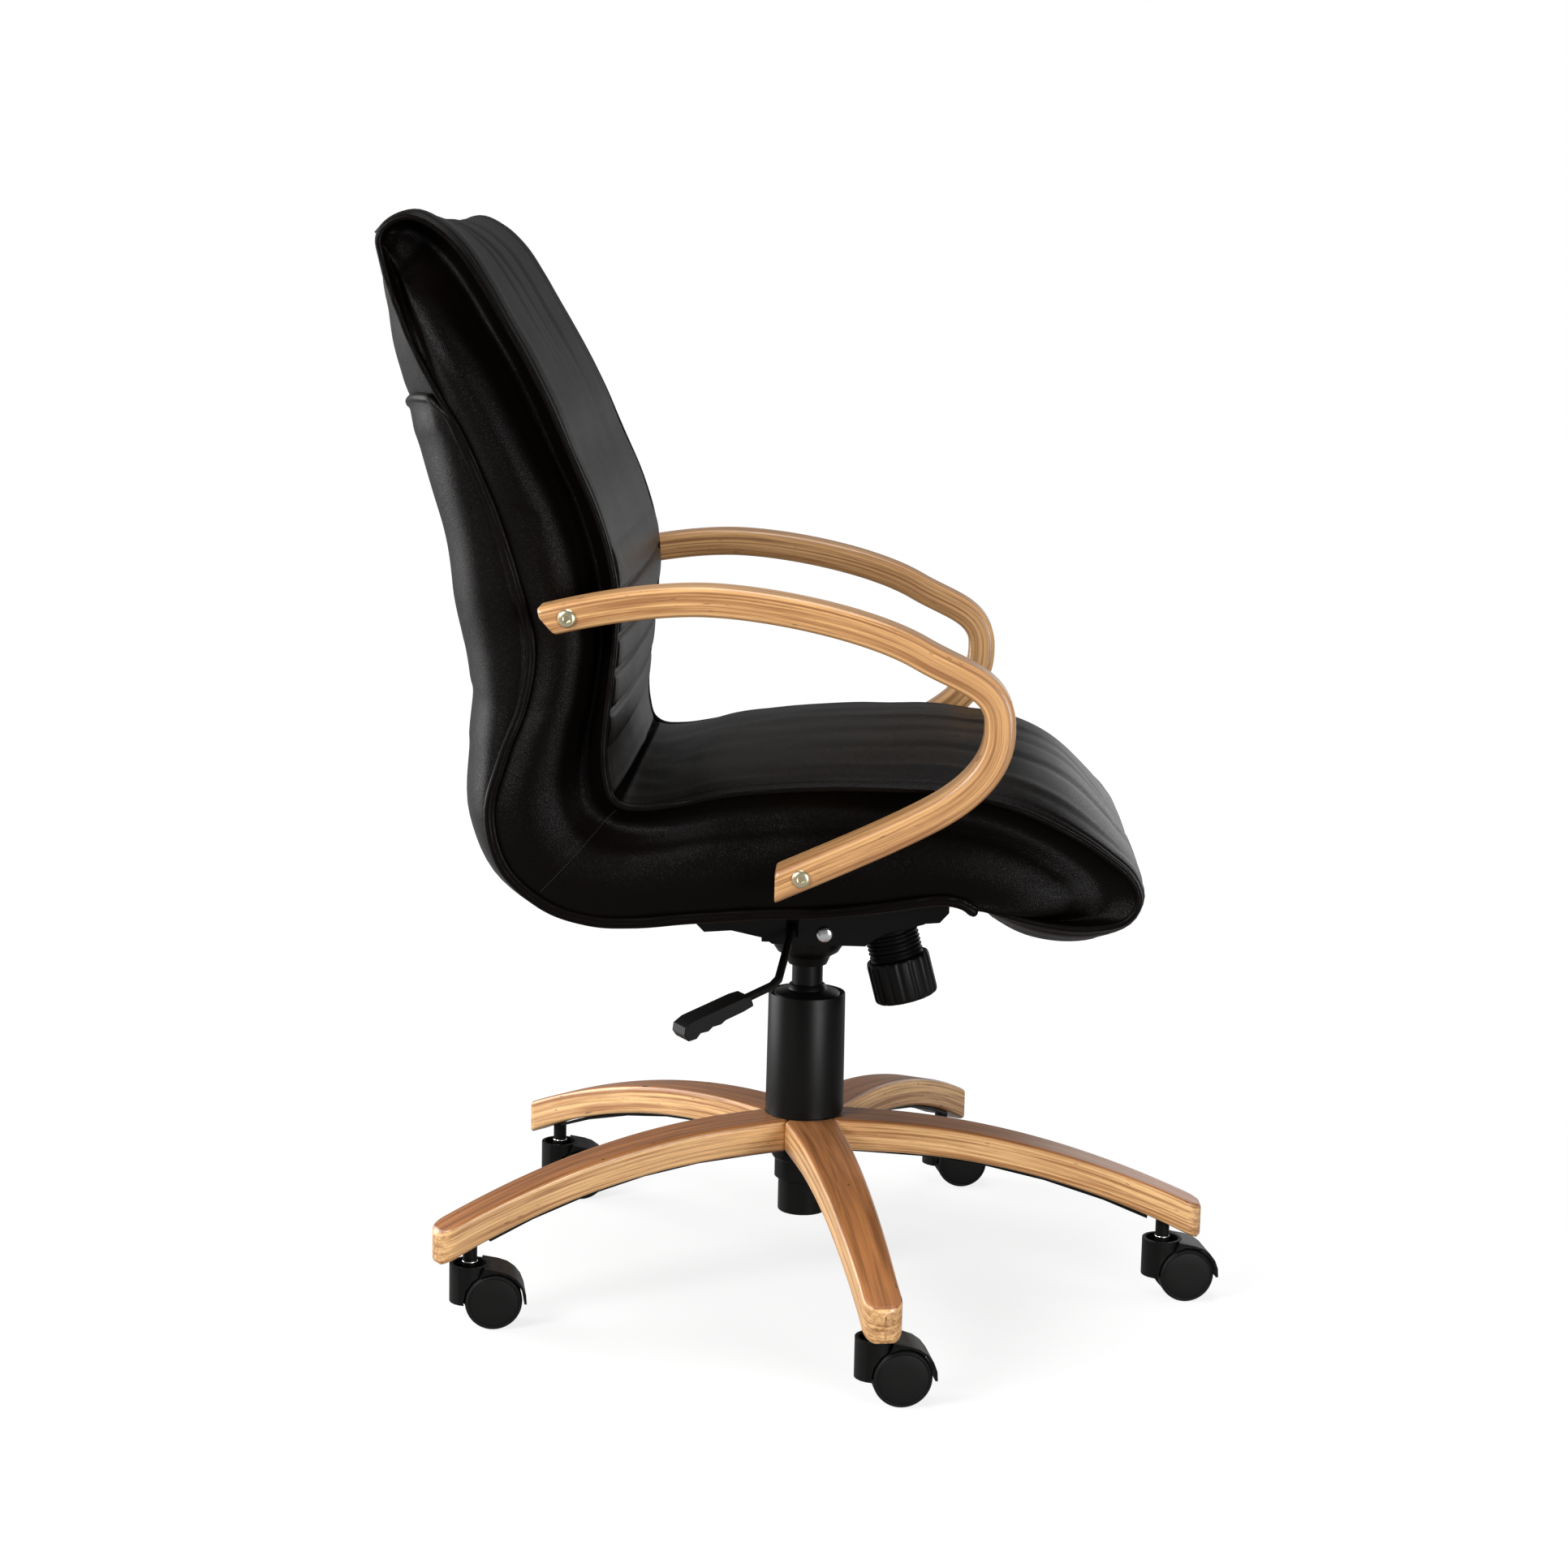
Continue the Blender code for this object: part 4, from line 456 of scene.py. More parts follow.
def woodMaterial(name, pale, dark, veneer, veneerDepth, ply, streak, marks, coat):
    material, tree, shader = newMaterial(name)
    board = put(tree, "ShaderNodeAttribute", attribute_name="grain").outputs["Vector"]
    wood = put(tree, "ShaderNodeGroup", node_tree=laminatedWood)
    tree.links.new(board, wood.inputs["Board"])
    for key, value in (("Pale", (*pale, 1)), ("Dark", (*dark, 1)), ("Veneer", (*veneer, 1)), ("Veneer depth", veneerDepth),
                       ("Ply", ply), ("Streak", streak), ("Marks", marks)):
        wood.inputs[key].default_value = value
    tree.links.new(wood.outputs["Color"], shader.inputs["Base Color"])
    tree.links.new(wood.outputs["Rough"], shader.inputs["Roughness"])
    made = put(tree, "ShaderNodeBump", {"Height": wood.outputs["Height"], "Strength": 0.5, "Distance": 0.00025})
    tree.links.new(made.outputs[0], shader.inputs["Normal"])
    shader.inputs["Coat Weight"].default_value = coat
    shader.inputs["Coat Roughness"].default_value = 0.22
    return material


def skinMaterial(name, color, roughness, wander, grain, bump, metallic=0.0, coat=0.0):
    material, tree, shader = newMaterial(name)
    place = put(tree, "ShaderNodeTexCoord").outputs["Object"]
    skin = put(tree, "ShaderNodeGroup", node_tree=fineSkin)
    tree.links.new(place, skin.inputs["Vector"])
    for key, value in (("Grain", grain), ("Base", (*color, 1)), ("Rough", roughness), ("Wander", wander)):
        skin.inputs[key].default_value = value
    tree.links.new(skin.outputs["Color"], shader.inputs["Base Color"])
    tree.links.new(skin.outputs["Rough"], shader.inputs["Roughness"])
    made = put(tree, "ShaderNodeBump", {"Height": skin.outputs["Height"], "Strength": 0.6, "Distance": bump})
    tree.links.new(made.outputs[0], shader.inputs["Normal"])
    shader.inputs["Metallic"].default_value = metallic
    shader.inputs["Specular IOR Level"].default_value = 0.5 if metallic else 0.16
    shader.inputs["Coat Weight"].default_value = coat
    return material


hide = leatherMaterial("blackHide", (0.0018, 0.0011, 0.0008), 0.31, 0.0014, 0.30, 0.00016, 0.0)
hidePiping = leatherMaterial("blackPiping", (0.0022, 0.0014, 0.0010), 0.30, 0.0011, 0.5, 0.00009, 0.0)
armWood = woodMaterial(
    "oiledArmWood", (0.74, 0.42, 0.175), (0.30, 0.125, 0.040), (0.60, 0.37, 0.17), -1.0, 0.0026, 1.0, 0.8, 0.35)
legWood = woodMaterial(
    "oiledLegWood", (0.90, 0.55, 0.25), (0.36, 0.150, 0.048), (0.46, 0.185, 0.062), 0.0011, 0.0030, 1.0, 1.0, 0.18)
moulded = skinMaterial("mouldedBlack", (0.0034, 0.0030, 0.0028), 0.42, 0.10, 1800.0, 0.00008)
wheelBlack = skinMaterial("wheelBlack", (0.0056, 0.0053, 0.0050), 0.52, 0.12, 1500.0, 0.0001)
coated = skinMaterial("powderCoat", (0.0036, 0.0033, 0.0030), 0.36, 0.12, 900.0, 0.00012)
coverBlack = skinMaterial("coverBlack", (0.0030, 0.0027, 0.0024), 0.38, 0.08, 1600.0, 0.00006)
zinc = skinMaterial("yellowZinc", (0.66, 0.58, 0.38), 0.30, 0.16, 500.0, 0.00004, metallic=1.0)
bright = skinMaterial("brightSteel", (0.72, 0.72, 0.72), 0.20, 0.10, 600.0, 0.00003, metallic=1.0)
innerPly = skinMaterial("shellPly", (0.45, 0.28, 0.14), 0.6, 0.2, 400.0, 0.0002)
thread = skinMaterial("seamThread", (0.016, 0.014, 0.013), 0.7, 0.1, 3000.0, 0.0001)
print("materials made")


# Camera, floor and light

view = dict(distance=2.785, height=0.931, panDeg=-0.516, pitchDeg=9.63, rollDeg=1.26, chairYawDeg=1.2, lens=72.02)


# The chair stands turned by its yaw, so the camera and its three directions are turned back into the chair's own
# frame: right and forward are (sin, cos) pairs of the pan, tipped by the pitch and rolled round the sight line
def makeCamera():
    yaw, pan, pitch, roll = (math.radians(view[k]) for k in ("chairYawDeg", "panDeg", "pitchDeg", "rollDeg"))
    sight = np.array([math.sin(pan) * math.cos(pitch), math.cos(pan) * math.cos(pitch), -math.sin(pitch)])
    level = np.array([math.cos(pan), -math.sin(pan), 0])
    top = np.cross(level, sight)
    right = math.cos(roll) * level + math.sin(roll) * top
    up = -math.sin(roll) * level + math.cos(roll) * top
    back = np.array([[math.sin(yaw), math.cos(yaw), 0], [-math.cos(yaw), math.sin(yaw), 0], [0, 0, 1]])
    spot = back @ np.array([0, -view["distance"], view["height"]])
    turn = np.stack([back @ right, back @ up, -(back @ sight)], axis=1)
    data = bpy.data.cameras.new("studioCamera")
    data.lens = view["lens"]
    data.sensor_width = 36.0
    data.clip_end = 50.0
    camera = bpy.data.objects.new("studioCamera", data)
    world = Matrix(turn.tolist()).to_4x4()
    world.translation = Vector(spot.tolist())
    camera.matrix_world = world
    bpy.context.scene.collection.objects.link(camera)
    bpy.context.scene.camera = camera


# shade and the reach after it paint a shadow on the floor: the floor's glow is lowered by shade under the chair and is
# back to full at that reach
studio = dict(
    ground=0.20, glow=0.84, farGlow=0.17, nearReach=0.7, farReach=2.4, glossShare=0.24, sky=0.07, shade=0.10, shadeReach=0.46,
    lamps=[  # place, aim, size, watts
        ((-1.6, 1.6, 1.6), (0, 0.1, 0.6), 0.9, 54.0),
        ((-2.0, -1.6, 0.7), (0, -0.1, 0.45), 1.0, 44.0),
        ((0.1, -0.2, 2.6), (0, 0, 0.5), 1.2, 26.0),
        ((0.7, 2.6, 1.0), (0, 0.2, 0.6), 2.0, 90.0),
        ((2.2, -1.2, 0.7), (0, -0.1, 0.6), 1.2, 6.0),
    ],
)


# How much of the white background a ray sees: all of it from the camera and through glass, a share in reflections
def shownShare(tree):
    seen = put(tree, "ShaderNodeLightPath").outputs
    direct = math2(tree, "MAXIMUM", seen["Is Camera Ray"], seen["Is Transmission Ray"])
    return math2(tree, "MAXIMUM", direct, math2(tree, "MULTIPLY", seen["Is Glossy Ray"], studio["glossShare"]))


def makeStudio():
    scene = bpy.context.scene
    scene.view_settings.view_transform = "Standard"
    ground = bpy.data.meshes.new("studioFloor")
    half = 14.0
    ground.from_pydata([(-half, -half, 0), (half, -half, 0), (half, half, 0), (-half, half, 0)], [], [(0, 1, 2, 3)])
    floor = bpy.data.objects.new("studioFloor", ground)
    scene.collection.objects.link(floor)
    material, tree, shader = newMaterial("studioWhite")
    tree.nodes.remove(shader)
    shown = shownShare(tree)
    place = put(tree, "ShaderNodeTexCoord").outputs["Object"]
    away = put(tree, "ShaderNodeVectorMath", {0: place}, operation="LENGTH").outputs["Value"]
    far = put(tree, "ShaderNodeMapRange", {
        0: away, 1: studio["nearReach"], 2: studio["farReach"], 3: studio["glow"], 4: studio["glow"] + studio["farGlow"]},
        interpolation_type="SMOOTHSTEP").outputs[0]
    matt = put(tree, "ShaderNodeBsdfDiffuse", {"Color": (studio["ground"],) * 3 + (1,)})
    # painted shadow: the glow dips by shade at the chair's middle and fades back to full at the reach from it
    paintedShadow = put(tree, "ShaderNodeMapRange", {0: away, 1: 0.0, 2: studio["shadeReach"], 3: studio["shade"], 4: 0.0},
               interpolation_type="SMOOTHSTEP").outputs[0]
    far = math2(tree, "SUBTRACT", far, paintedShadow)
    glow = put(tree, "ShaderNodeEmission", {"Color": (1, 1, 1, 1), "Strength": math2(tree, "MULTIPLY", shown, far)})
    both = put(tree, "ShaderNodeAddShader", {0: matt.outputs[0], 1: glow.outputs[0]})
    tree.links.new(both.outputs[0], tree.nodes["Material Output"].inputs[0])
    ground.materials.append(material)
    world = bpy.data.worlds.new("studioWorld")
    world.use_nodes = True
    tree = world.node_tree
    strength = math2(tree, "MAXIMUM", studio["sky"], shownShare(tree))
    sky = tree.nodes["Background"]
    sky.inputs["Color"].default_value = (1, 1, 1, 1)
    tree.links.new(strength, sky.inputs["Strength"])
    scene.world = world
    for number, (place, aim, size, watts) in enumerate(studio["lamps"]):
        data = bpy.data.lights.new(f"softbox{number}", "AREA")
        data.size = size
        data.energy = watts
        lamp = bpy.data.objects.new(f"softbox{number}", data)
        lamp.location = place
        lamp.rotation_euler = (Vector(aim) - Vector(place)).to_track_quat("-Z", "Y").to_euler()
        lamp.visible_camera = False
        scene.collection.objects.link(lamp)


makeCamera()
makeStudio()
print("camera and studio made")


# Upholstery

# Front piping and rear piping of a side panel, paired from the top of the back round to under the seat's nose:
# (forward, height, forward, height)
seamPairs = [
    (-0.3535, 0.9370, -0.3540, 0.9330), (-0.3450, 0.9460, -0.3518, 0.9240), (-0.3290, 0.9512, -0.3495, 0.9145),
    (-0.3100, 0.9430, -0.3470, 0.9050), (-0.2920, 0.9270, -0.3430, 0.8930), (-0.2740, 0.9020, -0.3380, 0.8800),
    (-0.2550, 0.8710, -0.3290, 0.8570), (-0.2360, 0.8390, -0.3175, 0.8340), (-0.2170, 0.8030, -0.3040, 0.8100),
    (-0.1980, 0.7610, -0.2860, 0.7800), (-0.1790, 0.7190, -0.2710, 0.7480), (-0.1670, 0.6830, -0.2555, 0.7110),
    (-0.1612, 0.6500, -0.2390, 0.6610), (-0.1620, 0.6060, -0.2255, 0.6050), (-0.1660, 0.5650, -0.2320, 0.5570),
    (-0.1695, 0.5280, -0.2480, 0.5120), (-0.1680, 0.5000, -0.2585, 0.4600), (-0.1620, 0.4810, -0.2440, 0.4180),
    (-0.1500, 0.4735, -0.2140, 0.3930), (-0.1300, 0.4730, -0.1780, 0.3815), (-0.1050, 0.4770, -0.1420, 0.3805),
    (-0.0750, 0.4840, -0.1000, 0.3850), (-0.0200, 0.4910, -0.0450, 0.3900), (0.0560, 0.4940, 0.0220, 0.3940),
    (0.1330, 0.4900, 0.0740, 0.4010), (0.1720, 0.4810, 0.0940, 0.4045), (0.2100, 0.4650, 0.1080, 0.4065),
    (0.2500, 0.4410, 0.1180, 0.4070), (0.2710, 0.4230, 0.1245, 0.4063), (0.2772, 0.4080, 0.1290, 0.4055),
    (0.2700, 0.3930, 0.1325, 0.4045), (0.2420, 0.3848, 0.1360, 0.4030), (0.2000, 0.3870, 0.1390, 0.4015),
    (0.1650, 0.3955, 0.1410, 0.4000), (0.1460, 0.4005, 0.1430, 0.3985),
]
pad = dict(
    halfWidth=0.232, rows=400, faceColumns=96, sideColumns=32, pipingRadius=0.0029,
    edgePuff=[(0, 0.0085), (3, 0.0075), (6, 0.0050), (16, 0.0030), (19, 0.0030), (24, 0.0040), (28, 0.0050), (34, 0.0050)],
    frontCrown=[(0, -0.009), (1.5, -0.009), (3, -0.006), (5, 0.000), (7, 0.002), (14, 0.004), (16, 0.005), (18, 0.009), (20, 0.014), (22, 0.018),
                (24, 0.024), (25, 0.028), (26, 0.026), (27, 0.013), (28, 0.005), (29, 0.004), (30, 0.014), (31, 0.032), (32, 0.036), (33, 0.026), (34, 0.005)],
    rearCrown=[(0, 0.010), (2, 0.016), (3, 0.020), (5, 0.028), (6.5, 0.038), (7.3, 0.042), (8, 0.043), (9.5, 0.041), (11, 0.030), (13, 0.008), (33, 0.004),
               (34, 0.005)],
    channels=[0.651, 0.616, 0.586, 0.553], channelDepth=0.0028, channelPuff=0.0016,
    stitchInset=0.0115, sidePuff=0.0100, sideValley=0.019,
)
pairs = np.array(seamPairs)
pairSteps = np.linalg.norm(np.diff(pairs[:, :2], axis=0), axis=1) * 0.65 + np.linalg.norm(np.diff(pairs[:, 2:], axis=0), axis=1) * 0.35
pairShares = np.concatenate([[0], np.cumsum(pairSteps)])
padLength = pairShares[-1]
pairShares /= padLength


def byPair(shares, knots):  # a value given at pair numbers, read at shares of the length, eased through its knots
    number = np.interp(shares, pairShares, np.arange(len(pairs)))
    knots = np.array(knots, float)
    return smoothLine(knots[:, 1:], np.clip(number, knots[0, 0], knots[-1, 0]), knots[:, 0])[:, 0]


# Both seam lines at the shares, with their outward directions in the side plane: the slope turned a quarter turn.
# At the two tips the two sides share one direction, so the leather runs round in one curve
def seams(shares):
    line = smoothLine(pairs, shares, pairShares)
    step = 2e-3
    ahead = smoothLine(pairs, np.clip(shares + step, 0, 1), pairShares)
    behind = smoothLine(pairs, np.clip(shares - step, 0, 1), pairShares)
    slope = ahead - behind
    frontOut = unit(np.stack([-slope[:, 1], slope[:, 0]], 1))
    rearOut = unit(np.stack([slope[:, 3], -slope[:, 2]], 1))
    number = np.interp(shares, pairShares, np.arange(len(pairs)))[:, None]
    top = np.array([[-0.93, 0.37]])
    foot = np.array([[-0.35, -0.94]])
    early, late = 1 - easeIn(number, 0, 2.2), easeIn(number, 32.6, 34)
    frontOut = unit(frontOut * (1 - early - late) + top * early + foot * late)
    rearOut = unit(rearOut * (1 - early - late) + top * early + foot * late)
    return line[:, :2], line[:, 2:], frontOut, rearOut


# Long soft folds: the sum over folds of amplitude * exp(-(offset / width)^2) * exp(-(run / reach)^2), each fold
# lying along a slanted line in the two coordinates given
def folds(run, offset, table):
    table = np.array(table, float)
    runAt, offsetAt, reach, width, slant, amplitude = (table[:, k][:, None, None] for k in range(6))
    away = run[None] - runAt
    return (amplitude * np.exp(-((offset[None] - offsetAt - slant * away) / width) ** 2) * np.exp(-(away / reach) ** 2)).sum(0)


def seededFolds(seed, count, runs, offsets, reach, width, slant, amplitude):
    rng = np.random.default_rng(seed)
    spans = (runs, offsets, reach, width, slant, amplitude)
    return np.stack([rng.uniform(low, high, count) for low, high in spans], 1)


# Shares of the length for the rows: the running sum of a density that rises at the sewn channels and at the tips
def rowShares(count):
    fine = np.linspace(0, 1, 4001)
    number = np.interp(fine, pairShares, np.arange(len(pairs)))
    density = 1 + 1.6 * (easeIn(number, 11.0, 11.6) - easeIn(number, 15.0, 15.6)) + 1.2 * (1 - easeIn(number, 0, 3)) + 0.8 * easeIn(number, 31, 34)
    total = np.concatenate([[0], np.cumsum((density[1:] + density[:-1]) / 2)])
    return np.interp(np.linspace(0, total[-1], count), total, fine)


faceFolds = np.concatenate([
    seededFolds(3, 12, (0.03, 0.20), (-0.20, 0.19), (0.06, 0.13), (0.009, 0.018), (-0.12, 0.12), (-0.0030, 0.0010)),
    seededFolds(5, 14, (0.78, 1.06), (-0.21, 0.20), (0.08, 0.16), (0.007, 0.014), (-0.14, 0.14), (-0.0044, 0.0020)),
    seededFolds(8, 8, (0.57, 0.66), (-0.21, 0.21), (0.012, 0.03), (0.012, 0.03), (-0.6, 0.6), (-0.0012, 0.0010)),
    seededFolds(13, 14, (0.20, 1.0), (-0.21, 0.21), (0.05, 0.12), (0.015, 0.03), (-0.3, 0.3), (-0.0010, 0.0010)),
])


# The whole cushion as a ring per row: the face from edge to edge, one side panel, the rear, the other side panel.
# Face and rear stand off their seams by crown * (1 - |x|^2.4) along the outward direction; a side panel runs
# straight from seam to seam and swells sideways by a valley near the face and a long ridge near the rear
def padGrid(shares, faceColumns, sideColumns, detail=True):
    front, rear, frontOut, rearOut = seams(shares)
    run = shares * padLength
    number = np.interp(shares, pairShares, np.arange(len(pairs)))
    crown = byPair(shares, pad["frontCrown"])[:, None]
    rearCrown = byPair(shares, pad["rearCrown"])[:, None]
    half = pad["halfWidth"]
    q = np.linspace(-1, 1, faceColumns)
    q = np.sign(q) * (1 - (1 - np.abs(q)) ** 1.45)
    across = (q * half)[None, :]
    stand = crown * (1 - np.abs(q)[None, :] ** 2.4)
    rise = 1 - np.exp(-((half - np.abs(across)) / 0.0055) ** 1.3)
    stand = stand + byPair(shares, pad["edgePuff"])[:, None] * rise
    runs, acrosses = np.broadcast_to(run[:, None], stand.shape), np.broadcast_to(across, stand.shape)
    ends = easeIn(number, 0.0, 2.5) * (1 - easeIn(number, 31.5, 34.0))
    if detail:
        inset = half - np.abs(across)
        stand = stand - 0.0016 * np.exp(-((inset - pad["stitchInset"]) / 0.0019) ** 2) * ends[:, None]
        stand = stand + 0.0016 * easeIn(inset, pad["stitchInset"], 0.030) * ends[:, None]
        backRows = (number > 4) & (number < 17)
        places = np.interp(-np.array(pad["channels"]), -front[backRows, 1], run[backRows])
        inner = easeIn(inset, pad["stitchInset"] - 0.002, pad["stitchInset"] + 0.004)
        groove = np.exp(-((run[:, None] - places[None, :]) / 0.0030) ** 2).sum(1)
        bounds = np.concatenate([[places[0] - 0.045], places, [places[-1] + 0.035]])
        phase = np.interp(run, bounds, np.arange(len(bounds)))
        swell = np.abs(np.sin(phase * math.pi)) ** 0.7 * ((phase > 0) & (phase < len(bounds) - 1))
        stand = stand + (pad["channelPuff"] * swell - pad["channelDepth"] * groove)[:, None] * inner
        stand = stand + folds(runs, acrosses, faceFolds) * easeIn(inset, 0.010, 0.030) * ends[:, None]
        crease = np.exp(-((number - 17.3) / 0.24) ** 2)[:, None] * easeIn(inset, 0.0, 0.02)
        stand = stand - 0.010 * crease
    side = front[:, None] + frontOut[:, None] * stand[..., None]
    face = np.stack([np.broadcast_to(across, stand.shape), -side[..., 0], side[..., 1]], -1)
    rearStand = rearCrown * (1 - np.abs(q)[None, :] ** 3.2) ** 0.8
    if detail:
        slack = seededFolds(21, 10, (0.02, 0.20), (-0.2, 0.2), (0.04, 0.09), (0.008, 0.016), (-0.1, 0.1), (-0.0020, 0.0012))
        rearStand = rearStand + folds(runs, acrosses, slack) * easeIn(half - np.abs(across), 0.0, 0.02) * ends[:, None]
    back = rear[:, None] + rearOut[:, None] * rearStand[..., None]
    back = np.stack([np.broadcast_to(across, stand.shape), -back[..., 0], back[..., 1]], -1)
    g = np.linspace(0, 1, sideColumns + 2)[1:-1][None, :]
    wide = np.linalg.norm(front - rear, axis=1)[:, None]
    full = np.clip(wide / 0.070, 0, 1)
    atTop = 1 - easeIn(number, 2.0, 9.0)[:, None]
    crest = easeIn(number, 2.2, 7.5)[:, None]
    ridge = np.sin(math.pi * np.clip((g - 0.34 - 0.10 * atTop) / (0.68 - 0.14 * atTop), 0, 1)) ** (0.8 + 0.9 * atTop)
    valley = np.exp(-((g - 0.18 - 0.03 * atTop) / (0.14 + 0.10 * atTop)) ** 2) * easeIn(g, 0.0, 0.04)
    valley = valley + 0.55 * atTop * np.exp(-((g - 0.93) / 0.06) ** 2)
    hollow = (1 - crest) * np.sin(math.pi * g) ** 0.7
    onBack = 1 - easeIn(number, 17.5, 20.5)[:, None]
    puff = full * (pad["sidePuff"] * ridge * crest - (0.55 + 0.45 * onBack) * pad["sideValley"] * valley)
    puff = puff + 0.004 * ridge * (easeIn(number, 4.0, 7.0) - easeIn(number, 9.5, 12.0))[:, None]
    puff = puff - 0.026 * np.clip(wide / 0.06, 0, 1) * hollow
    if detail:
        places = np.broadcast_to(run[:, None], puff.shape)
        spot = np.broadcast_to(g, puff.shape) * wide
        corner = seededFolds(31, 7, (0.52, 0.62), (0.01, 0.05), (0.007, 0.014), (0.016, 0.03), (0.5, 2.2), (-0.0016, 0.0010))
        tips = np.concatenate([
            seededFolds(33, 16, (0.0, 0.07), (0.0, 0.035), (0.0022, 0.005), (0.010, 0.02), (-1.0, 1.0), (-0.0018, 0.0016)),
            seededFolds(34, 26, (1.10, 1.34), (0.0, 0.03), (0.003, 0.008), (0.010, 0.022), (-0.8, 0.8), (-0.0017, 0.0014)),
            seededFolds(35, 12, (0.20, 1.15), (0.01, 0.09), (0.03, 0.08), (0.005, 0.012), (-0.2, 0.2), (-0.0008, 0.0006)),
        ])
        edge = easeIn(g, 0, 0.06) * (1 - easeIn(g, 0.93, 1.0))
        puff = puff + folds(places, spot, np.concatenate([corner, tips])) * edge
        seamLine = np.exp(-((run - np.interp(17.75, np.arange(len(pairs)), pairShares) * padLength) / 0.0016) ** 2)
        puff = puff - 0.0011 * seamLine[:, None] * edge
    # towards the face the valley also lies deeper between the seams, as a sunk join does
    line = front[:, None] + (rear - front)[:, None] * g[..., None]
    reach = np.clip(half + puff, 0.18, np.where(number < 10.5, 0.2470, 0.2428)[:, None])
    right = np.stack([reach, -line[..., 0], line[..., 1]], -1)
    left = np.stack([-reach[:, ::-1], -line[:, ::-1, 0], line[:, ::-1, 1]], -1)
    return np.concatenate([face, right, back[:, ::-1], left], axis=1)


foam = dict(
    rows=120, faceColumns=46, sideColumns=11, frames=20, pressure=4.0, slack=0.007, hold=0.35, cap=0.0040, calm=3,
)


# Where each column of a padGrid lies round the ring: 0 to 1 over the face, 1 to 2 over one side, 2 to 3 over the
# rear and 3 to 4 over the other side
def ringPlaces(faceColumns, sideColumns):
    face, side = np.linspace(0, 1, faceColumns), np.linspace(0, 1, sideColumns + 2)[1:-1]
    return np.concatenate([face, 1 + side, 2 + face, 3 + side])


# How far the leather moves when the cushion is filled: a coarse copy of it is cloth a little larger than its
# place, held at the seams, channels and crease and softly by the foam elsewhere, with pressure inside. The move is
# capped as cap * tanh(move / cap) and spread over the fine grid by linear weights along rows and columns
def filledMove(fineShares, fineColumns, fineSide):
    shares = rowShares(foam["rows"])
    start = padGrid(shares, foam["faceColumns"], foam["sideColumns"], detail=False)
    rows, columns = start.shape[:2]
    places = ringPlaces(foam["faceColumns"], foam["sideColumns"])
    r, c = np.meshgrid(np.arange(rows - 1), np.arange(columns), indexing="ij")
    quads = np.stack([r * columns + c, r * columns + (c + 1) % columns, (r + 1) * columns + (c + 1) % columns,
                      (r + 1) * columns + c], -1).reshape(-1, 4)
    mesh = bpy.data.meshes.new("filling")
    mesh.from_pydata(start.reshape(-1, 3).tolist(), [], quads.tolist())
    cushion = bpy.data.objects.new("filling", mesh)
    bpy.context.scene.collection.objects.link(cushion)
    number = np.interp(shares, pairShares, np.arange(len(pairs)))
    seam = np.min(np.abs(places[None, :] - np.array([0, 1, 2, 3, 4])[:, None]), axis=0)
    channelNumbers = np.interp(-np.array(pad["channels"]), -pairs[5:17, 1], np.arange(5, 17))
    sewn = np.min(np.abs(number[:, None] - np.append(channelNumbers, 17.3)[None, :]), axis=1)
    held = np.full((rows, columns), foam["hold"])
    held = np.maximum(held, (seam < 0.012)[None, :] * 1.0)
    held = np.maximum(held, ((sewn < 0.09)[:, None] & (places < 1)[None, :]) * 1.0)
    held[:2] = 1.0
    held[-2:] = 1.0
    pins = cushion.vertex_groups.new(name="pins")
    for level in np.unique(held):
        pins.add(np.nonzero(held.ravel() == level)[0].tolist(), float(level), "REPLACE")
    cloth = cushion.modifiers.new("fill", "CLOTH")
    cloth.settings.quality = 6
    cloth.settings.mass = 0.35
    cloth.settings.tension_stiffness = 18
    cloth.settings.compression_stiffness = 18
    cloth.settings.shear_stiffness = 8
    cloth.settings.bending_stiffness = 6.0
    cloth.settings.use_pressure = True
    cloth.settings.uniform_pressure_force = foam["pressure"]
    cloth.settings.shrink_min = -foam["slack"]
    cloth.settings.vertex_group_mass = "pins"
    cloth.settings.pin_stiffness = 0.6
    cloth.settings.effector_weights.gravity = 0
    cloth.collision_settings.use_collision = False
    cloth.point_cache.frame_start = 1
    cloth.point_cache.frame_end = foam["frames"]
    for step in range(1, foam["frames"] + 1):
        bpy.context.scene.frame_set(step)
    shape = cushion.evaluated_get(bpy.context.evaluated_depsgraph_get()).data
    moved = np.empty(rows * columns * 3, np.float32)
    shape.vertices.foreach_get("co", moved)
    move = moved.reshape(start.shape).astype(float) - start
    bpy.data.objects.remove(cushion)
    bpy.context.scene.frame_set(1)
    far = np.linalg.norm(move, axis=-1, keepdims=True)
    print(f"filling moved the leather by up to {far.max() * 1000:.1f} mm, {np.median(far) * 1000:.1f} mm at the middle")
    move = move * foam["cap"] * np.tanh(far / foam["cap"]) / np.maximum(far, 1e-9)
    for _ in range(foam["calm"]):
        move[1:-1] = (move[:-2] + 2 * move[1:-1] + move[2:]) / 4
        move = (np.roll(move, 1, 1) + 2 * move + np.roll(move, -1, 1)) / 4
    downward = np.stack([np.interp(fineShares, shares, basis) for basis in np.eye(rows)])
    finePlaces = ringPlaces(fineColumns, fineSide)
    around = np.stack([np.interp(finePlaces, np.append(places, 4.0), basis) for basis in np.eye(columns + 1)])
    wrapped = np.concatenate([move, move[:, :1]], axis=1)
    return np.einsum("rf,rck,cg->fgk", downward, wrapped, around, optimize=True)


padShares = rowShares(pad["rows"])
padPoints = padGrid(padShares, pad["faceColumns"], pad["sideColumns"])
padPoints = padPoints + filledMove(padShares, pad["faceColumns"], pad["sideColumns"])
padPoints[..., 0] = np.clip(padPoints[..., 0], -0.2470, 0.2470)
seatPad = surface("seatBackPad", padPoints, hide, "seat", sharpDeg=75)
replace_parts(seatPad, "seat_back_pad")
print("cushion made,", len(seatPad.data.vertices), "points")

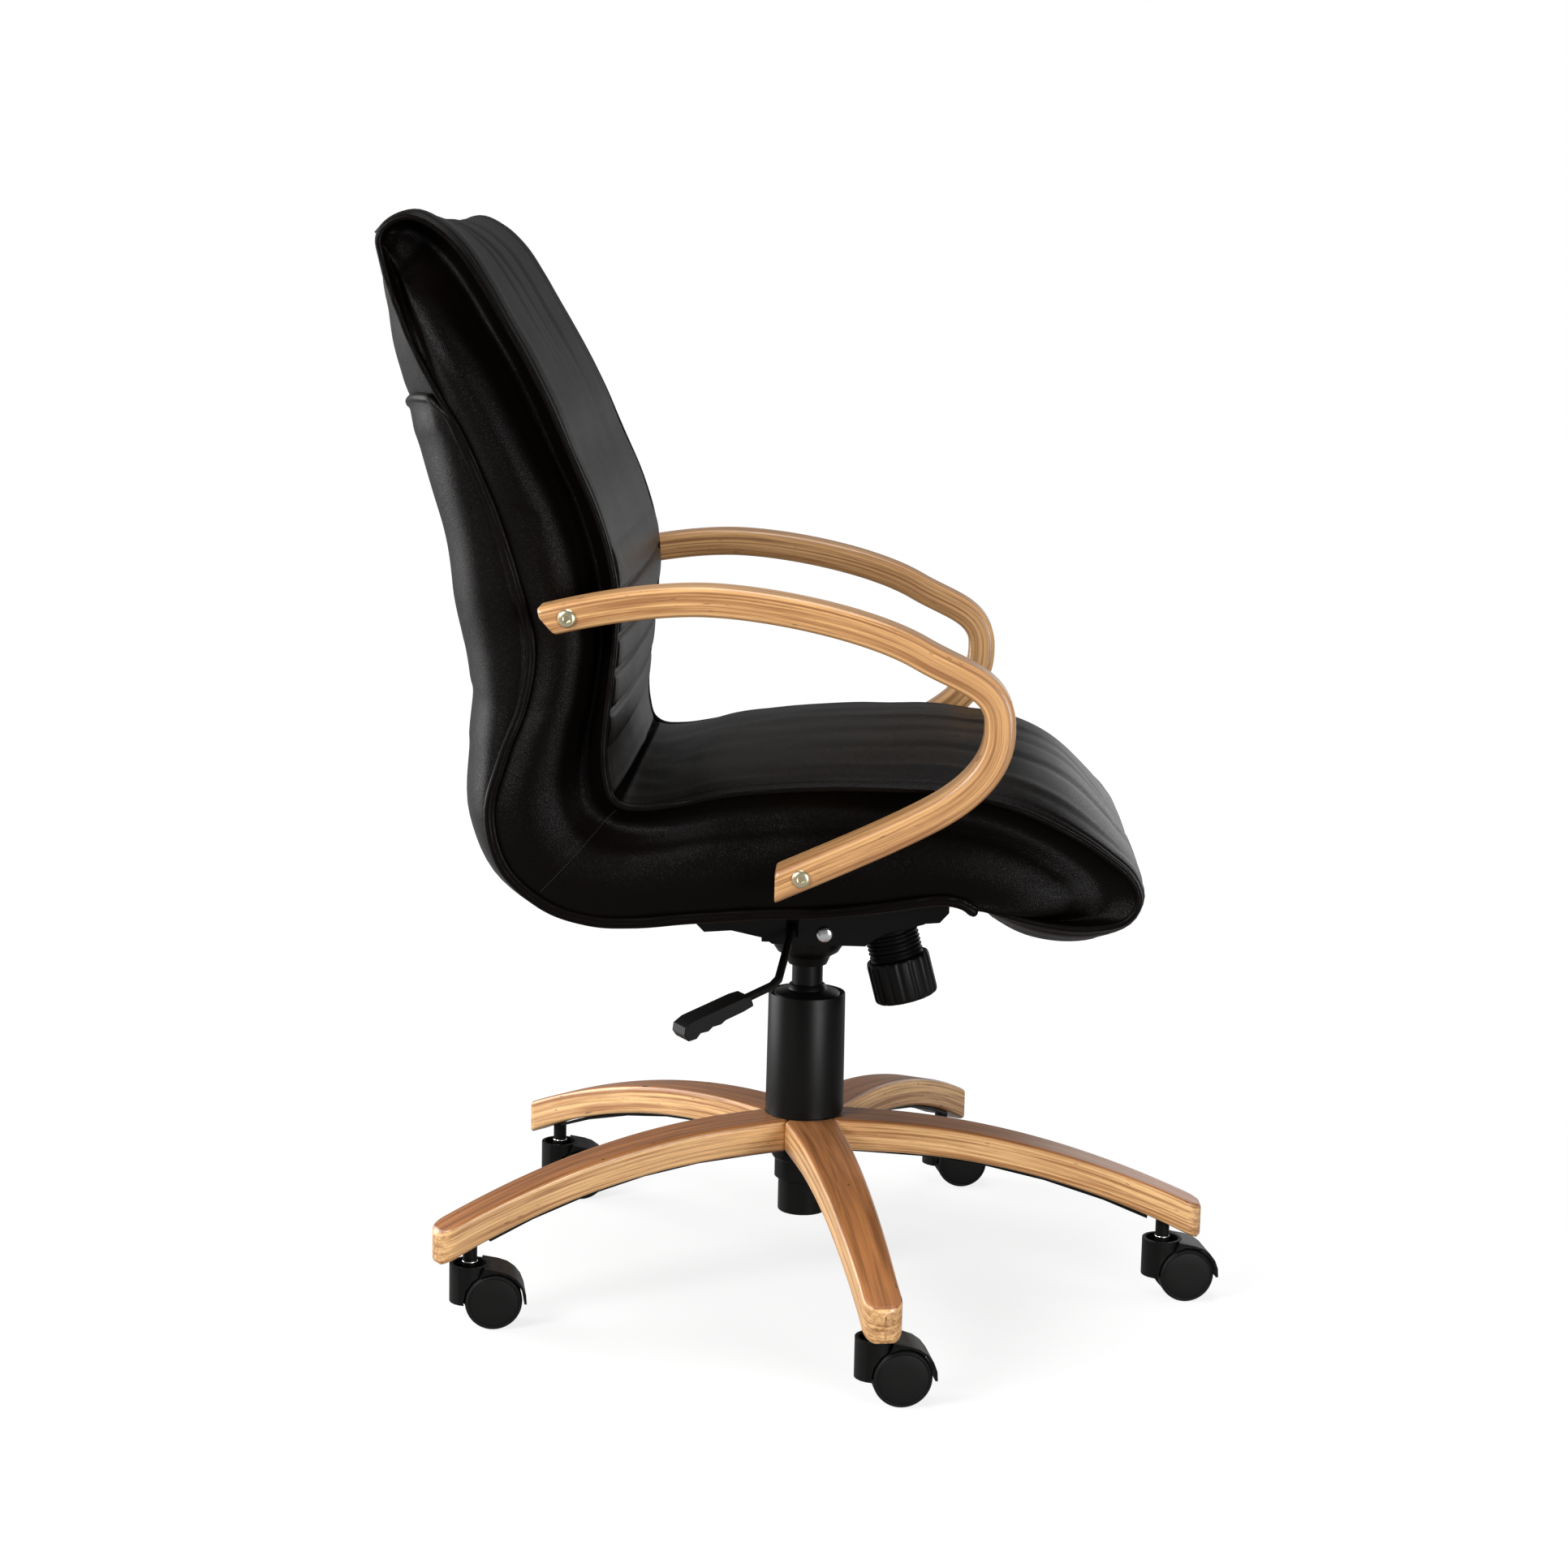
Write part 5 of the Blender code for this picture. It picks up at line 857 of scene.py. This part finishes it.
# Pipings: one loop along the two long seams of each side panel, standing a little outside the leather
pipeShares = np.linspace(0, 1, 420)
frontLine, rearLine, frontOut, rearOut = seams(pipeShares)
frontPath, rearPath = frontLine + frontOut * 0.0016, rearLine + rearOut * 0.0012
loop = np.concatenate([frontPath[::-1], rearPath])
for _ in range(5):
    loop = (np.roll(loop, 1, 0) + 2 * loop + np.roll(loop, -1, 0)) / 4
loopAt = np.linspace(0, math.tau, len(loop))
for side, word in ((-1, "Right"), (1, "Left")):
    wave = 0.0004 * np.sin(27 * loopAt + side) + 0.0003 * np.sin(61 * loopAt + 2 * side)
    reach = side * (pad["halfWidth"] + 0.0016 + wave)
    path = np.stack([reach, -loop[:, 0], loop[:, 1]], -1)
    pipe = tube(f"sidePiping{word}", path, pad["pipingRadius"], hidePiping, "seat", loop=True)
print("pipings made")

stitch = dict(pitch=0.0046, length=0.0034, radius=0.00042, firstRow=14, lastRow=385, joinPair=17.75)


# Two stitched lines down the face, one inside each edge, and two short ones beside the join of each side panel
def stitchedLines():
    rows = np.linspace(stitch["firstRow"], stitch["lastRow"], 900)
    q = 1 - pad["stitchInset"] / pad["halfWidth"]
    fromMiddle = 1 - (1 - q) ** (1 / 1.45)
    lines = []
    for side in (-1, 1):
        column = (side * fromMiddle + 1) / 2 * (pad["faceColumns"] - 1)
        lines.append(sampled(padPoints, rows, np.full(len(rows), column)))
    return lines


# The join of the back's and the seat's side leather, a line of stitches from seam to seam
def joinLines():
    row = np.interp(np.interp(stitch["joinPair"], np.arange(len(pairs)), pairShares), padShares, np.arange(pad["rows"]))
    lines = []
    for first in (pad["faceColumns"], 2 * pad["faceColumns"] + pad["sideColumns"]):
        columns = np.linspace(first, first + pad["sideColumns"] - 1, 60)
        lines.append(sampled(padPoints, np.full(60, row), columns))
    return lines


stitches("faceStitching", stitchedLines(), stitch["pitch"], stitch["length"], stitch["radius"], thread, "seat")
stitches("joinStitching", joinLines(), 0.0030, 0.0026, stitch["radius"], thread, "seat")
print("stitching made")

# The outer cover behind the shell: it hangs off the rear seam by bulge * (1 - |x|^squareness)^fullness. Its top edge
# is level: each column starts at the first share whose height is under the level, which drops near the two corners.
# A thick piping runs round its edge
cover = dict(
    topPairs=(6.4, 9.6), level=0.796, cornerRise=0.011, cornerFrom=0.96, cornerDrop=0.012, lastPair=34.0, rows=190, clearance=0.0030, hugReach=0.030,
    plateBed=dict(half=0.092, rear=-0.100, front=0.128, ramp=0.011, stand=0.0075), columns=92, thickness=0.0024, pipingRadius=0.0039,
    bulge=[(6.4, 0.040), (7.2, 0.041), (8.0, 0.045), (9.0, 0.051), (10.0, 0.054), (11.1, 0.057), (12.4, 0.067), (13.4, 0.064), (14.5, 0.048),
           (15.8, 0.032), (17.0, 0.030), (18.7, 0.034), (20.9, 0.030), (22.7, 0.026), (34.0, 0.0190)],
    squareness=[(6.4, 3.2), (8.5, 3.3), (11.0, 4.0), (14.0, 4.0), (17.5, 2.2), (34.0, 2.2)],
    fullness=[(6.4, 0.72), (8.5, 0.62), (11.0, 0.40), (14.0, 0.38), (17.5, 0.95), (34.0, 0.95)],
)


def coverStand(flat, wide, below=1.0):
    shape = np.clip(1 - wide ** byPair(flat, cover["squareness"]), 0, 1) ** byPair(flat, cover["fullness"])
    own = byPair(flat, cover["bulge"]) * shape + 0.0045
    hug = byPair(flat, pad["rearCrown"]) * np.clip(1 - wide**3.2, 0, 1) ** 0.8 + cover["clearance"]
    return hug + (own - hug) * easeIn(below, 0.0, cover["hugReach"])


def coverGrid():
    theta = np.linspace(-1, 1, cover["columns"]) * math.pi / 2
    q = np.sin(theta)
    last = np.interp(cover["lastPair"], np.arange(len(pairs)), pairShares)
    tries = np.interp(np.linspace(*cover["topPairs"], 160), np.arange(len(pairs)), pairShares)
    shares = np.broadcast_to(tries[:, None], (len(tries), len(q))).ravel()
    _, rear, _, rearOut = seams(shares)
    height = (rear[:, 1] + rearOut[:, 1] * coverStand(shares, np.broadcast_to(np.abs(q), (len(tries), len(q))).ravel(), 0.0))
    height = height.reshape(len(tries), len(q))
    level = cover["level"] + cover["cornerRise"] * easeIn(np.abs(q), 0.4, 0.95)
    level = level - cover["cornerDrop"] * easeIn(np.abs(q), cover["cornerFrom"], 1.0) ** 1.6
    start = tries[np.argmax(height < level[None, :], axis=0)]
    v = np.linspace(0, 1, cover["rows"])[:, None]
    shares = start[None, :] + v * (last - start[None, :])
    flat = shares.ravel()
    _, rear, _, rearOut = seams(flat)
    below = (shares - start[None, :]).ravel() * padLength
    stand = coverStand(flat, np.broadcast_to(np.abs(q), shares.shape).ravel(), below)
    slack = np.concatenate([
        seededFolds(41, 10, (0.28, 0.62), (-0.2, 0.2), (0.06, 0.14), (0.014, 0.03), (-0.3, 0.3), (-0.0012, 0.0010)),
        seededFolds(43, 8, (0.56, 0.70), (-0.22, 0.22), (0.02, 0.04), (0.02, 0.04), (-0.5, 0.5), (-0.0012, 0.0010)),
    ])
    runs = flat.reshape(shares.shape) * padLength
    acrosses = np.broadcast_to(q[None, :] * 0.232, shares.shape)
    stand = stand + (folds(runs, acrosses, slack) * (1 - np.abs(q) ** 6)[None, :]).ravel()
    x = np.broadcast_to(q[None, :] * (pad["halfWidth"] + 0.0005), shares.shape)
    bed = cover["plateBed"]
    inBed = (1 - easeIn(np.abs(x).ravel(), bed["half"] - bed["ramp"], bed["half"])) * (flat > np.interp(17.5, np.arange(len(pairs)), pairShares))
    inBed = inBed * easeIn(rear[:, 0], bed["rear"], bed["rear"] + bed["ramp"])
    inBed = inBed * (1 - easeIn(rear[:, 0], bed["front"] - bed["ramp"], bed["front"]))
    stand = stand + (bed["stand"] - stand) * inBed
    place = rear + rearOut * stand[:, None]
    return np.stack([x, -place[:, 0].reshape(shares.shape), place[:, 1].reshape(shares.shape)], -1)


coverPoints = coverGrid()
outerCover = surface("outerCover", coverPoints, hide, "seat", wrapColumns=False, sharpDeg=75)
wall = outerCover.modifiers.new("wall", "SOLIDIFY")
wall.thickness = cover["thickness"]
wall.offset = -1.0
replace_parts(outerCover, "outer_cover")
edge = np.concatenate([coverPoints[::-1, 0], coverPoints[0, 1:], coverPoints[1:, -1], coverPoints[-1, -2:0:-1]])
spacing = np.concatenate([[0], np.cumsum(np.linalg.norm(np.diff(edge, axis=0), axis=1))])
even = np.linspace(0, spacing[-1], 560)
edge = np.stack([np.interp(even, spacing, edge[:, k]) for k in range(3)], 1)
middle = np.array([0, 0.20, 0.56])
coverPiping = tube("coverPiping", edge, cover["pipingRadius"], hidePiping, "seat", hint=unit(edge - middle), sides=12, loop=False)
print("outer cover made")

# Arms and legs

arm = dict(
    innerFace=0.2435, width=0.042, thickness=0.0248, edgeRound=0.0055, pivotHeight=0.3403, footCut=-0.0225, rows=220,
    path=[
        ((-0.2155, 0.2920), (-0.2300, 0.2880), (-0.1750, 0.3030)), ((-0.0850, 0.3120), (-0.1250, 0.3122), (-0.0350, 0.3118)),
        ((0.0920, 0.2730), (0.0500, 0.2965), (0.1270, 0.2535)), ((0.1570, 0.2145), (0.1575, 0.2505), (0.1580, 0.1855)),
        ((0.1050, 0.1420), (0.1396, 0.1620), (0.0660, 0.1195)), ((-0.0360, 0.0740), (0.0047, 0.0931), (-0.0500, 0.0670)),
    ],
)


# The arm's centre line: cubic Bezier spans (1-t)^3 a + 3 (1-t)^2 t b + 3 (1-t) t^2 c + t^3 d, cut off where it
# passes the foot, then shared evenly by length
def armLine(count):
    t = np.linspace(0, 1, 60)[:, None]
    spans = []
    for (a, _, b), (d, c, _) in zip(arm["path"], arm["path"][1:]):
        a, b, c, d = (np.array(p) for p in (a, b, c, d))
        spans.append(((1 - t) ** 3 * a + 3 * (1 - t) ** 2 * t * b + 3 * (1 - t) * t**2 * c + t**3 * d)[:-1])
    line = np.concatenate(spans)
    low = (line[:, 1] < 0.15) & (line[:, 0] < arm["footCut"])
    line = line[~low]
    length = np.concatenate([[0], np.cumsum(np.linalg.norm(np.diff(line, axis=0), axis=1))])
    even = np.linspace(0, length[-1], count)
    return np.stack([np.interp(even, length, line[:, k]) for k in range(2)], 1), even


# The arm: a rounded rectangle carried along the line; its ends are slid along the line by an amount that depends on
# the height in the section, so one is cut upright and the other slants, and small rings in from the edge round them
def makeArm(side, word):
    line, length = armLine(arm["rows"])
    total = length[-1]
    slope = unit(np.gradient(line, axis=0))
    square = np.stack([-slope[:, 1], slope[:, 0]], 1)
    insets = np.array([0.006, 0.0022, 0.0013, 0.0006, 0.00015])
    backs = np.array([0.0, 0.0, 0.0002, 0.0007, 0.0013])
    rows = np.concatenate([np.zeros(6), np.arange(1, len(line) - 1), np.full(6, len(line) - 1)]).astype(int)
    inset = np.concatenate([[0.012], insets, np.zeros(len(line) - 2), insets[::-1], [0.012]])
    slide = np.concatenate([[0.0], backs, np.zeros(len(line) - 2), -backs[::-1], [0.0]])
    wide, thick = arm["width"] / 2 - inset, arm["thickness"] / 2 - inset
    ring = roundedRing(np.maximum(wide, 0.0), np.maximum(thick, 0.0), np.maximum(arm["edgeRound"] - inset, 0.0002))
    ring[0] *= 0
    ring[-1] *= 0
    high = ring[..., 1]
    along = length[rows][:, None] + slide[:, None] + 0 * high
    nearStart, nearEnd = 1 - easeIn(along, 0, 0.020), easeIn(along, total - 0.018, total)
    slant = 0.0085 * np.clip((0.004 - high) / 0.0164, 0, 1)
    footSlope = slope[-1]
    footOffset = -(line[-1][0] + high * square[-1][0] - arm["footCut"]) / footSlope[0]
    shift = slide[:, None] + nearStart * slant + nearEnd * footOffset
    place = line[rows][:, None] + square[rows][:, None] * high[..., None] + slope[rows][:, None] * shift[..., None]
    x = side * (arm["innerFace"] + arm["width"] / 2) + ring[..., 0]
    grid = np.stack([x, -place[..., 0], place[..., 1] + arm["pivotHeight"]], -1)
    grain = np.stack([along + shift + 2.7 * side, ring[..., 0] + 0.5, high + 0.3 + 0.11 * side], -1)
    made = surface(f"arm{word}", grid, armWood, "seat", grain=grain, sharpDeg=60)
    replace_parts(made, f"arm_{word.lower()}")


makeArm(-1, "Right")
makeArm(1, "Left")

leg = dict(
    count=5, firstDeg=5.7, reach=0.3635, stemCircle=0.330, rootHalf=0.0245, tipHalf=0.0165, tipRound=0.016, tipUnder=0.0593,
    tipHeight=0.031, topRise=0.065, topFlat=0.060, underRise=0.067, underFlat=0.080, edgeRound=0.0036, hub=0.0293, rows=120,
)


# A leg: top and underside fall as rise * ((r - flat) / (reach - flat))^2, the half width is the least of the mitre
# r * tan(36 deg), a straight taper and the rounded tip; the root is pushed out onto the hub's circle
def makeLeg(index):
    angle = math.radians(leg["firstDeg"] + index * 72)
    tipStart = leg["reach"] - leg["tipRound"]
    r = np.concatenate([np.linspace(0.0237, 0.045, 10), np.linspace(0.047, tipStart, leg["rows"] - 32),
                        tipStart + leg["tipRound"] * np.sin(np.linspace(0.05, 1, 22) * math.pi / 2)])
    top = leg["tipUnder"] + leg["tipHeight"] + leg["topRise"] * (1 - (np.maximum(r - leg["topFlat"], 0) / (leg["reach"] - leg["topFlat"])) ** 2)
    under = leg["tipUnder"] + leg["underRise"] * (1 - (np.maximum(r - leg["underFlat"], 0) / (leg["reach"] - leg["underFlat"])) ** 2)
    mitre = r * math.tan(math.pi / 5) - 0.0004
    taper = leg["rootHalf"] + (leg["tipHalf"] - leg["rootHalf"]) * np.clip(r / leg["stemCircle"], 0, 1)
    past = np.clip((r - tipStart) / leg["tipRound"], 0, 1)
    tip = taper * (1 - 0.85 * (1 - np.sqrt(np.clip(1 - past**2.3, 0, 1))))
    half = np.minimum(np.minimum(mitre, taper), tip)
    endRound = 0.0025 * easeIn(r, leg["reach"] - 0.003, leg["reach"])
    high = (top - under) / 2 - endRound
    ring = roundedRing(half - endRound * 0.5, high, np.minimum(leg["edgeRound"], half * 0.9), 6, 6)
    closing = np.stack([ring[0] * 0, ring[-1] * 0.75, ring[-1] * 0])
    ring = np.concatenate([closing[:1], ring, closing[1:]])
    rows = np.concatenate([[0], np.arange(len(r)), [len(r) - 1] * 2])
    reach = np.maximum(r[rows][:, None] + 0 * ring[..., 0], np.sqrt(np.clip(leg["hub"] ** 2 - ring[..., 0] ** 2, 0, None)))
    reach[-2:] += 0.0003
    level = (top + under)[rows][:, None] / 2 + ring[..., 1]
    depth = top[rows][:, None] - level
    x = ring[..., 0] * math.cos(angle) - reach * math.sin(angle)
    y = -ring[..., 0] * math.sin(angle) - reach * math.cos(angle)
    grain = np.stack([reach + 1.9 * index, ring[..., 0] + 0.3 * index + 0.5, depth], -1)
    made = surface(f"leg{index + 1}", np.stack([x, y, level], -1), legWood, "base", grain=grain, sharpDeg=60)
    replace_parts(made, f"leg_{index + 1}")


for index in range(leg["count"]):
    makeLeg(index)
print("arms and legs made")

# Turned pieces

column = dict(foot=0.1556, top=0.2676, lowerTop=0.0350, lowerFoot=0.0358, middle=0.0333, upper=0.0309, wall=0.0014, collar=0.2756)


def makeColumn():
    low, top, wall = column["foot"], column["top"], column["wall"]
    a, b = column["lowerTop"], column["lowerFoot"]
    lower = turned("columnCoverLower", [
        (a - wall, top - 0.0004), (a - wall / 2, top), (a - 0.0003, top - 0.0002), (a, top - 0.0009), (b - 0.0001, low + 0.0012), (b + 0.0003, low + 0.0008),
        (b + 0.0003, low), (a - wall, low), (a - wall, top - 0.0004)], coverBlack, "base", steps=72)
    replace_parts(lower, "column_cover_lower")
    m = column["middle"]
    middle = turned("columnCoverMiddle", [
        (m - wall, top - 0.0014), (m - wall / 2, top - 0.0008), (m, top - 0.0016), (m, low + 0.006), (m - wall, low + 0.006),
        (m - wall, top - 0.0014)], coverBlack, "cover_middle", steps=72)
    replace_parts(middle, "column_cover_middle")
    u, neck = column["upper"], 0.0143
    upper = turned("columnCoverUpper", [
        (neck, top - 0.001), (u - wall, top - 0.003), (u - wall, low + 0.009), (u, low + 0.009), (u, top - 0.0022), (u - 0.0006, top - 0.0009),
        (u - 0.002, top + 0.0006), (neck + 0.006, top + 0.0022), (neck + 0.0038, top + 0.0034), (neck + 0.0022, column["collar"] - 0.0008),
        (neck + 0.0012, column["collar"]), (neck, column["collar"]), (neck, top - 0.001)], coverBlack, "lift", steps=72)
    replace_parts(upper, "column_cover_upper")


makeColumn()

caster = dict(trail=0.020, axle=0.025, turnDeg=10.0, webHalf=0.0068, gap=0.0003, wheelWidth=0.0128, radius=0.025)


def casterFrame(index):
    angle = math.radians(leg["firstDeg"] + index * 72)
    foot = Matrix.Translation((-math.sin(angle) * leg["stemCircle"], -math.cos(angle) * leg["stemCircle"], 0))
    return foot @ Matrix.Rotation(math.radians(caster["turnDeg"] - 90), 4, "Z")


# A wheel's section from the bore out over the tread and back in over a dished face with a ring groove
wheelProfile = [
    (0.0031, 0.0), (0.0236, 0.0), (0.0246, 0.0004), (0.0250, 0.0014), (0.0250, 0.0076), (0.0248, 0.0092), (0.0242, 0.0106), (0.0233, 0.0117),
    (0.0224, 0.0122), (0.0219, 0.0121), (0.0216, 0.0117), (0.0212, 0.0117), (0.0208, 0.0122), (0.0190, 0.0126), (0.0120, 0.0130),
    (0.0060, 0.0131), (0.0, 0.0131),
]


def makeWheels(index):
    place = casterFrame(index)
    for side, word in ((1, "Left"), (-1, "Right")):
        lay = place @ Matrix.Translation((caster["trail"], side * (caster["webHalf"] + caster["gap"]), caster["axle"]))
        lay = lay @ Matrix.Rotation(math.radians(-90 * side), 4, "X")
        profile = wheelProfile + [(0.0, 0.0088), (0.0031, 0.0088), (0.0031, 0.0)]
        wheel = turned(f"wheel{index + 1}{word}", profile, wheelBlack, f"wheel_{index + 1}_{word.lower()}", lay, 56)
        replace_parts(wheel, f"caster_wheel_{index + 1}_{word.lower()}")


for index in range(leg["count"]):
    makeWheels(index)
print("column and wheels made")


knob = dict(
    rim=(0, -0.081, 0.3028), leanDeg=15.0, radius=0.029, length=0.039, wall=0.0035, floor=0.004, hub=0.009, hubHeight=0.012,
    flutes=16, fluteDepth=0.0013, sleeve=0.0246, sleeveInner=0.0208, ribPitch=0.0038, ribDepth=0.0013, sleeveTop=0.0372,
    sleeveFoot=-0.012,
)


# The knob's grip narrows by depth * max(0, cos(flutes * a))^2, and the sleeve's ribs by depth * |sin(pi * h / pitch)|
def makeTensionKnob():
    lay = Matrix.Translation(Vector(knob["rim"])) @ Matrix.Rotation(-math.radians(knob["leanDeg"]), 4, "X")
    r, low, inner = knob["radius"], -knob["length"], knob["radius"] - knob["wall"]
    floor = low + knob["floor"]
    grip = turned("tensionKnob", [
        (0, low, 0), (r - 0.009, low, 0), (r - 0.0026, low + 0.0001, 0.3), (r - 0.0014, low + 0.0008, 0.6),
        (r - 0.0005, low + 0.0020, 0.9), (r, low + 0.0036, 1), (r, -0.0040, 1), (r - 0.0003, -0.0018, 0.7),
        (r - 0.0009, -0.0005, 0.2), (r - 0.0016, 0, 0), (inner + 0.0007, 0, 0), (inner, -0.0006, 0), (inner, floor + 0.001, 0),
        (inner - 0.001, floor, 0), (knob["hub"], floor, 0), (knob["hub"], floor + knob["hubHeight"], 0),
        (0.0053, floor + knob["hubHeight"], 0), (0.0053, floor, 0), (0, floor, 0)],
        moulded, "knob", lay, steps=192, sharpDeg=45,
        flutes=lambda a: knob["fluteDepth"] * np.maximum(0, np.cos(knob["flutes"] * a)) ** 1.5)
    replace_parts(grip, "tension_knob")
    high = np.linspace(knob["sleeveFoot"], knob["sleeveTop"] - 0.0024, 130)
    ribs = knob["sleeve"] - knob["ribDepth"] * np.abs(np.sin(math.pi * high / knob["ribPitch"])) ** 1.4
    top, edge, bore = knob["sleeveTop"], knob["sleeve"] + 0.002, 0.0055
    profile = list(zip(ribs, high)) + [
        (edge, top - 0.0022), (edge + 0.0002, top - 0.0011), (edge, top), (bore, top), (bore, top - 0.0022),
        (knob["sleeveInner"], top - 0.0022), (knob["sleeveInner"], knob["sleeveFoot"]), (ribs[0], high[0])]
    sleeve = turned("springSleeve", profile, moulded, bodyOf["spring_sleeve"], lay, steps=72, sharpDeg=50)
    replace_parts(sleeve, "spring_sleeve")


makeTensionKnob()

stem = dict(foot=0.0411, top=0.0804, sleeve=0.0063, ring=0.0070, ringFoot=0.0568, ringTop=0.0584)


# A caster's stem in its black sleeve, with the bright ring that closes the socket under the leg
def makeStem(index):
    angle = math.radians(leg["firstDeg"] + index * 72)
    spot = Matrix.Translation((-math.sin(angle) * leg["stemCircle"], -math.cos(angle) * leg["stemCircle"], 0))
    r, low, top = stem["sleeve"], stem["foot"], stem["top"]
    sleeve = turned(f"casterStem{index + 1}", [(0, low), (r - 0.001, low), (r, low + 0.001), (r, top - 0.001), (r - 0.001, top),
                    (0, top)], moulded, "base", spot, steps=32)
    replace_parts(sleeve, f"caster_stem_{index + 1}")
    low, top, wide = stem["ringFoot"], stem["ringTop"], stem["ring"]
    turned(f"stemRing{index + 1}", [(r - 0.0004, low), (wide - 0.0003, low), (wide, low + 0.0004), (wide, top - 0.0004),
           (wide - 0.0003, top), (r - 0.0004, top), (r - 0.0004, low)], bright, "base", spot, steps=32)


for index in range(leg["count"]):
    makeStem(index)

armScrew = dict(places=[("rear", -0.194, 0.6368), ("front", -0.001, 0.4288)], face=0.2855, head=0.0075, high=0.0032, hex=0.0028,
                recess=0.0020, shank=0.0040, length=0.088)


# A domed head with a hexagonal recess: the recess narrows by across - across * cos(30) / cos(a in one sixth - 30)
def makeArmScrews():
    head, high, key, shank, end = (armScrew[k] for k in ("head", "high", "hex", "shank", "length"))
    floor = high - armScrew["recess"]
    profile = [(0, floor, 0), (key, floor, 1), (key, high - 0.0004, 1), (key + 0.0005, high - 0.0001, 0.5), (key + 0.0012, high, 0),
               (head * 0.70, high - 0.0003, 0), (head * 0.88, high - 0.0010, 0), (head * 0.97, high - 0.0019, 0), (head, 0.0009, 0),
               (head - 0.0002, 0.0003, 0), (shank, 0.0003, 0), (shank, -end, 0), (0, -end, 0)]
    hexagon = lambda a: key * (1 - math.cos(math.pi / 6) / np.cos(a % (math.pi / 3) - math.pi / 6))
    for side, word in ((1, "left"), (-1, "right")):
        for place, forward, height in armScrew["places"]:
            lay = Matrix.Translation((side * armScrew["face"], -forward, height))
            lay = lay @ Matrix.Rotation(math.radians(90 * side), 4, "Y")
            screw = turned(f"armScrew{place.capitalize()}{word.capitalize()}", profile, zinc, "seat", lay, steps=48, flutes=hexagon)
            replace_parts(screw, f"arm_screw_{place}_{word}")


makeArmScrews()

pivot = dict(forward=0.016, height=0.3403, half=0.0883, head=0.0072, headHigh=0.003, pin=0.005)


def makePivotPin():
    half, r, out = pivot["half"], pivot["head"], pivot["headHigh"]
    dome = [(r * math.sin(t), half + out * math.cos(t) ** 0.8) for t in np.linspace(0.0, 1.45, 8)]
    top = [(0, half + out)] + dome[1:] + [(r, half), (pivot["pin"], half)]
    profile = top + [(radius, -high) for radius, high in reversed(top)]
    lay = Matrix.Translation((0, -pivot["forward"], pivot["height"])) @ Matrix.Rotation(math.radians(90), 4, "Y")
    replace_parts(turned("pivotPin", profile, bright, bodyOf["pivot_pin"], lay, steps=40), "pivot_pin")


makePivotPin()
print("turned pieces made")

easedNodes = {
    "base_hub": (coated, 0.0007), "column_tube": (coated, 0.0), "gas_cylinder": (coated, 0.0), "tilt_housing": (coated, 0.0012),
    "seat_plate": (coated, 0.0012), "lever_bushing": (moulded, 0.0), "lever_rod": (coated, 0.0), "lever_paddle": (moulded, 0.0012),
}
for name in nodes:
    if name.startswith("caster_hood"):
        easedNodes[name] = (moulded, 0.0006)
for name, (finish, rounding) in easedNodes.items():
    eased(name, finish, rounding)
# the cover lies closer to the cushion than the solids do, so what is hidden between them is drawn up a little
hiddenLift = (0.405, 0.008)
eased("inner_shell", innerPly, 0.0, lift=hiddenLift)
for name in ("side_rail_left", "side_rail_right"):
    eased(name, coated, 0.0, lift=hiddenLift)
print("pressed and moulded pieces eased")

# CAD nodes that keep their shape
finishes = {
    "column_clip": bright, "piston_rod": bright, "valve_button": bright, "tension_spring": coated, "tension_bolt": bright,
    "spring_washer": bright,
}
for name, node in nodes.items():
    finish = bright if name.startswith("plate_screw") else finishes.get(name)
    if finish is not None:
        node.data.materials.clear()
        node.data.materials.append(finish)
